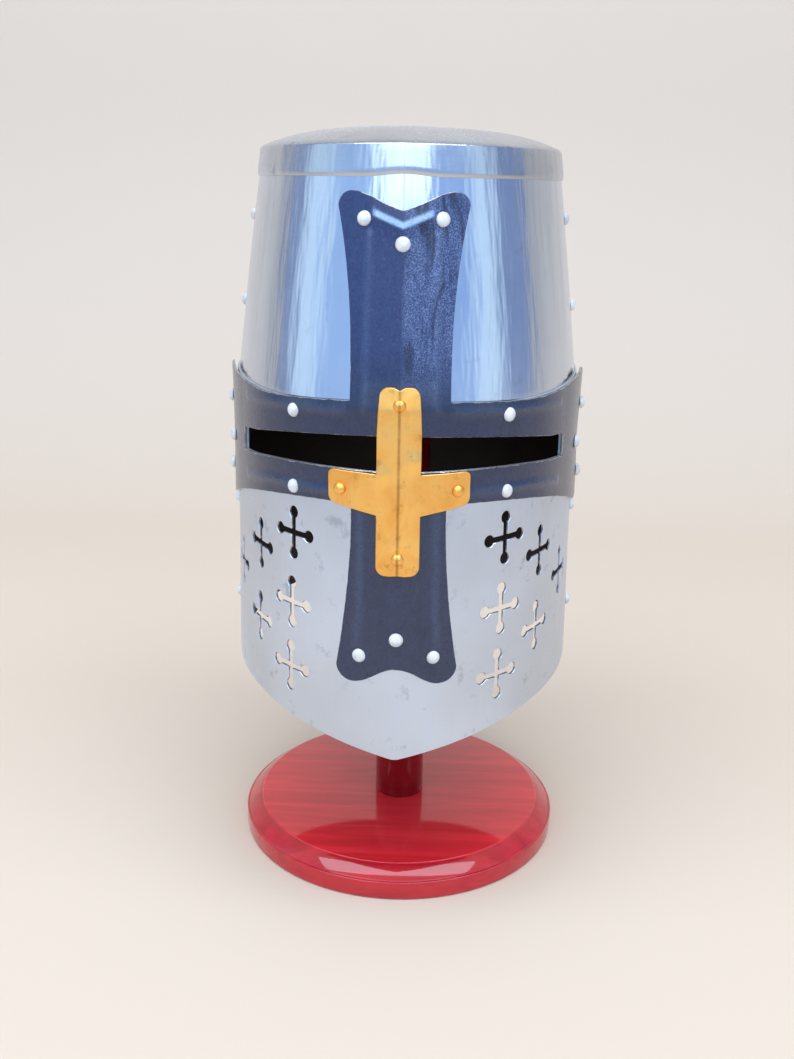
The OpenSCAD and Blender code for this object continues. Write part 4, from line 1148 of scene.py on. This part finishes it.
def tarnished_brass(name):
    f = Finish(name)
    blotch = f.noise(45, 6, 0.65, None, 0.8)
    dark = f.noise(130, 5, 0.7)
    rub = f.noise(1.0, 5, 0.65, f.place((500, 500, 60)))
    tone = f.mix(f.ramp(blotch, 0.40, 0.62), (1.0, 0.57, 0.16), (0.94, 0.45, 0.10))
    tone = f.mix(f.ramp(dark, 0.58, 0.74, 0, 0.6), tone, (0.30, 0.13, 0.035))
    across = f.node("SeparateXYZ", {"Vector": f.place()}).outputs["X"]
    # Painted shade: a dark line down the middle, along the ridge.
    middle = f.ramp(f.maths("ABSOLUTE", across), 0.0003, 0.0011, 0.6, 0.0)
    ridge_shade = f.maths("MULTIPLY", middle, f.ramp(dark, 0.3, 0.5, 0.5, 1.0))
    tone = f.mix(ridge_shade, tone, (0.28, 0.11, 0.03))
    f.principled(base_color=tone, metallic=1.0,
                 roughness=f.ramp(f.maths("ADD", blotch, rub), 0.7, 1.3, 0.28, 0.46),
                 normal=f.bump(f.maths("ADD", rub, f.maths("MULTIPLY", dark, 1.5)), 0.0001, 0.45))
    return f.material


brass.data.materials.append(tarnished_brass("tarnished_brass"))
line_inside(brass, inside_black_shade)
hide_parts("brass_cross")
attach(brass, "helmet")

# Rivets
# Steel rivets with domed heads painted off-white, and smaller brass ones, peened over inside the helmet.
# Each group of like rivets is set by one Geometry Nodes tree, every rivet a little off size.
RIVET_HEAD_D = 7.6 * MM
RIVET_HEAD_H = 2.8 * MM
BRASS_RIVET_D = 6.8 * MM
RIVET_SHANK_R = 2 * MM
RIVET_TAIL_R = 3.4 * MM
RIVET_TAIL_H = 1.4 * MM
SHEET_GAP = 0.1 * MM
HEAD_EDGE_H = 0.12 * MM
SIZE_JITTER = 0.05


def rivet_tree():
    tree = bpy.data.node_groups.new("set_rivets", "GeometryNodeTree")
    sockets = {"Geometry": "Geometry", "Rivet": "Object", "Size Jitter": "Float", "Seed": "Int",
               "Finish": "Material"}
    for label, kind in sockets.items():
        tree.interface.new_socket(label, in_out="INPUT", socket_type="NodeSocket" + kind)
    tree.interface.new_socket("Geometry", in_out="OUTPUT", socket_type="NodeSocketGeometry")
    given = put_node(tree, "NodeGroupInput").outputs
    pattern = put_node(tree, "GeometryNodeObjectInfo", {"Object": given["Rivet"]})
    outward = put_node(tree, "GeometryNodeInputNamedAttribute", {"Name": "outward"},
                       data_type="FLOAT_VECTOR")
    aim = put_node(tree, "FunctionNodeAlignRotationToVector", {"Vector": outward.outputs["Attribute"]},
                   axis="Z")
    smallest = put_node(tree, "ShaderNodeMath", {0: 1.0, 1: given["Size Jitter"]}, operation="SUBTRACT")
    size = put_node(tree, "FunctionNodeRandomValue",
                    {2: smallest.outputs[0], 3: 1.0, "Seed": given["Seed"]}, data_type="FLOAT")
    put = put_node(tree, "GeometryNodeInstanceOnPoints",
                   {"Points": given["Geometry"], "Instance": pattern.outputs["Geometry"],
                    "Rotation": aim.outputs["Rotation"], "Scale": size.outputs[1]})
    real = put_node(tree, "GeometryNodeRealizeInstances", {"Geometry": put.outputs["Instances"]})
    coat = put_node(tree, "GeometryNodeSetMaterial",
                    {"Geometry": real.outputs["Geometry"], "Material": given["Finish"]})
    put_node(tree, "NodeGroupOutput", {"Geometry": coat.outputs["Geometry"]})
    return tree


rivet_setter = rivet_tree()


def run_tree(name, points, outward, tree, values):
    """Runs a tree on loose points, each with its outward direction, and makes the result a piece."""
    mesh = bpy.data.meshes.new(name + "_points")
    mesh.from_pydata(points, [], [])
    facing_out = mesh.attributes.new("outward", "FLOAT_VECTOR", "POINT")
    facing_out.data.foreach_set("vector", [c for v in outward for c in v])
    carrier = bpy.data.objects.new(name + "_points", mesh)
    bpy.context.collection.objects.link(carrier)
    modifier = carrier.modifiers.new("set", "NODES")
    modifier.node_group = tree
    for item in tree.interface.items_tree:
        if item.in_out == "INPUT" and item.name in values:
            modifier[item.identifier] = values[item.name]
    bpy.context.view_layer.update()
    evaluated = carrier.evaluated_get(bpy.context.evaluated_depsgraph_get())
    result = bpy.data.meshes.new_from_object(evaluated)
    result.name = name
    made = bpy.data.objects.new(name, result)
    bpy.context.collection.objects.link(made)
    bpy.data.objects.remove(carrier)
    return made


def rivet_profile(grip, head_d):
    r = head_d / 2
    tail = -grip - SHEET_GAP
    profile = [(0, tail - RIVET_TAIL_H)]
    profile += [(RIVET_TAIL_R * math.sin(math.radians(a)),
                 tail - RIVET_TAIL_H * math.cos(math.radians(a))) for a in (25, 50, 75, 90)]
    profile += [(RIVET_SHANK_R, tail), (RIVET_SHANK_R, SHEET_GAP), (r * 0.97, SHEET_GAP)]
    dome_low = SHEET_GAP + HEAD_EDGE_H
    dome_h = RIVET_HEAD_H - HEAD_EDGE_H
    profile += [(r * math.cos(math.radians(a)), dome_low + dome_h * math.sin(math.radians(a)))
                for a in range(0, 90, 10)]
    return profile + [(0, SHEET_GAP + RIVET_HEAD_H)]


def pale_paint():
    f = Finish("pale_rivet_paint")
    grime = f.noise(160, 5, 0.65)
    f.principled(base_color=f.mix(f.ramp(grime, 0.45, 0.75), (0.72, 0.73, 0.72), (0.42, 0.42, 0.40)),
                 roughness=f.ramp(grime, 0.3, 0.7, 0.30, 0.5),
                 normal=f.bump(f.noise(500, 3), 0.0002, 0.4), coat_weight=0.3, coat_roughness=0.2)
    return f.material


PALE_RIVET = (RIVET_HEAD_D, pale_paint(), "pale_paint")
BRASS_RIVET = (BRASS_RIVET_D, tarnished_brass("brass_rivet_metal"), "brass")


def set_rivets(name, node, places, out, grip, kind, seed):
    """Each place is a turn of the wall, or ("x", distance) in front of the face, and a height. out is how
    far the heads sit from the wall's face, as a number or a function, and grip the sheets between them
    and the tails. kind is a head's width, its finish and a slot name, which is not used."""
    head_d, finish, slot = kind
    points = []
    outward = []
    for place, z in places:
        if isinstance(place, tuple):
            s = along_at_x(place[1], z, 0.0) if place[1] else 0.0
        else:
            s = math.copysign(along(abs(place)), place)
        level = out(s, z) if callable(out) else out
        slope = math.atan((lean(z + MM) - lean(z - MM)) / (2 * MM))
        side = facing(turn_at(abs(s))) if s else facing(0)
        normal = Vector((math.copysign(side[0], s) if s else 0.0, side[1], math.tan(slope))).normalized()
        outward.append(normal)
        points.append(Vector(bend(s, z, 0)) + normal * level * math.cos(slope))
    pattern = lathe(name + "_pattern", rivet_profile(grip, head_d), 28)
    made = run_tree(name, points, outward, rivet_setter,
                    {"Rivet": pattern, "Size Jitter": SIZE_JITTER, "Seed": seed, "Finish": finish})
    bpy.data.objects.remove(pattern)
    made.data.polygons.foreach_set("use_smooth", [True] * len(made.data.polygons))
    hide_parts(node)
    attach(made, "helmet")


def both(place, *heights):
    """A place on the right and its mirror image on the left, at each height."""
    mirrored = ("x", -place[1]) if isinstance(place, tuple) else -place
    return [(side, z) for z in heights for side in (mirrored, place)]


KEEL = ("x", 0.0)
ARM_RIVET = ("x", 19.1 * MM)
ARM_RIVET_STEP = 11.5 * MM
BAND_RIVET_TURN = 42.2
BAND_RIVET_HEIGHTS = (251.8 * MM, 292.6 * MM)
SEAM_RIVET_TURN = 85.0
SEAM_RIVET_HEIGHTS = (152.5 * MM, 215 * MM, 336.5 * MM, 385.5 * MM)
BACK_RIVET_TURN = 142.0
BACK_SIDE_RIVET_TURN = 104.0
upper_rivet_z = UPPER_ARM_Z - 13 * MM
lower_rivet_z = LOWER_ARM_Z + 15.8 * MM
back_rivet_z = BROW_Z - BROW_LAP / 2
end_turn = math.degrees(math.acos(BAND_END_IN / SIDE_R))
end_inner_turn = math.degrees(math.acos((BAND_END_IN + 17 * MM) / SIDE_R))
brass_low_z = BRASS_BOTTOM_Z + 9.5 * MM
brass_high_z = BRASS_TOP_Z - 8.7 * MM
brass_side = ("x", BRASS_REACH - 7.5 * MM)
brass_side_z = BRASS_BAR_TOP - BRASS_BAR_END_H / 2 - 0.6 * MM
brass_rivet_lift = 0.25 * MM
set_rivets("upper_arm_rivet_heads", "upper_arm_rivets",
           both(ARM_RIVET, upper_rivet_z) + [(KEEL, upper_rivet_z - ARM_RIVET_STEP)],
           lambda s, z: cross_face(z), 2 * LAYER, PALE_RIVET, 11)
set_rivets("lower_arm_rivet_heads", "lower_arm_rivets",
           both(ARM_RIVET, lower_rivet_z) + [(KEEL, lower_rivet_z + ARM_RIVET_STEP)],
           LAYER, 2 * LAYER, PALE_RIVET, 12)
set_rivets("band_rivet_heads", "band_rivets", both(BAND_RIVET_TURN, *BAND_RIVET_HEIGHTS),
           LAYER, 3 * LAYER, PALE_RIVET, 13)
set_rivets("band_end_rivet_heads", "band_end_rivets",
           both(end_turn, BAND_END_TOP_Z - 3 * LOBE_R, BAND_END_BOTTOM_Z + 2 * LOBE_R + 2 * MM)
           + both(end_inner_turn, end_middle),
           lambda s, z: LAYER + spring(s, z) + SHEET_GAP, 4 * LAYER, PALE_RIVET, 14)
set_rivets("side_seam_rivet_heads", "side_seam_rivets", both(SEAM_RIVET_TURN, *SEAM_RIVET_HEIGHTS),
           lambda s, z: 0.0 if z < BROW_Z else -LAYER, 2 * LAYER, PALE_RIVET, 15)
set_rivets("back_rivet_heads", "back_joint_rivets",
           [(180.0, back_rivet_z)] + both(BACK_RIVET_TURN, back_rivet_z)
           + both(BACK_SIDE_RIVET_TURN, back_rivet_z),
           -LAYER, 3 * LAYER, PALE_RIVET, 16)
set_rivets("brass_rivet_heads", "brass_rivets",
           [(KEEL, brass_low_z), (KEEL, brass_high_z)] + both(brass_side, brass_side_z),
           lambda s, z: brass_face(z) + brass_rivet_lift, 3 * LAYER, BRASS_RIVET, 17)

# Liner
# A leather band riveted inside the brow carries eight leather tongues, which are sewn to it. A round
# leather lace draws the tongues together over the wearer's head.


def brown_leather():
    f = Finish("brown_leather")
    grain = f.noise(520, 4, 0.6)
    hide = f.noise(24, 4, 0.6)
    f.principled(base_color=f.mix(f.ramp(hide, 0.3, 0.7), (0.16, 0.075, 0.032), (0.30, 0.155, 0.075)),
                 roughness=f.ramp(grain, 0.3, 0.7, 0.45, 0.65), normal=f.bump(grain, 0.0003, 0.6))
    return f.material


def lace_leather():
    f = Finish("lace_leather")
    tan = f.mix(f.ramp(f.noise(200), 0.3, 0.7), (0.36, 0.22, 0.11), (0.52, 0.36, 0.20))
    f.principled(base_color=tan, roughness=0.6)
    return f.material


leather = brown_leather()
dress("liner_band", leather)
dress("liner_tongues", leather)
dress("liner_lace", lace_leather())
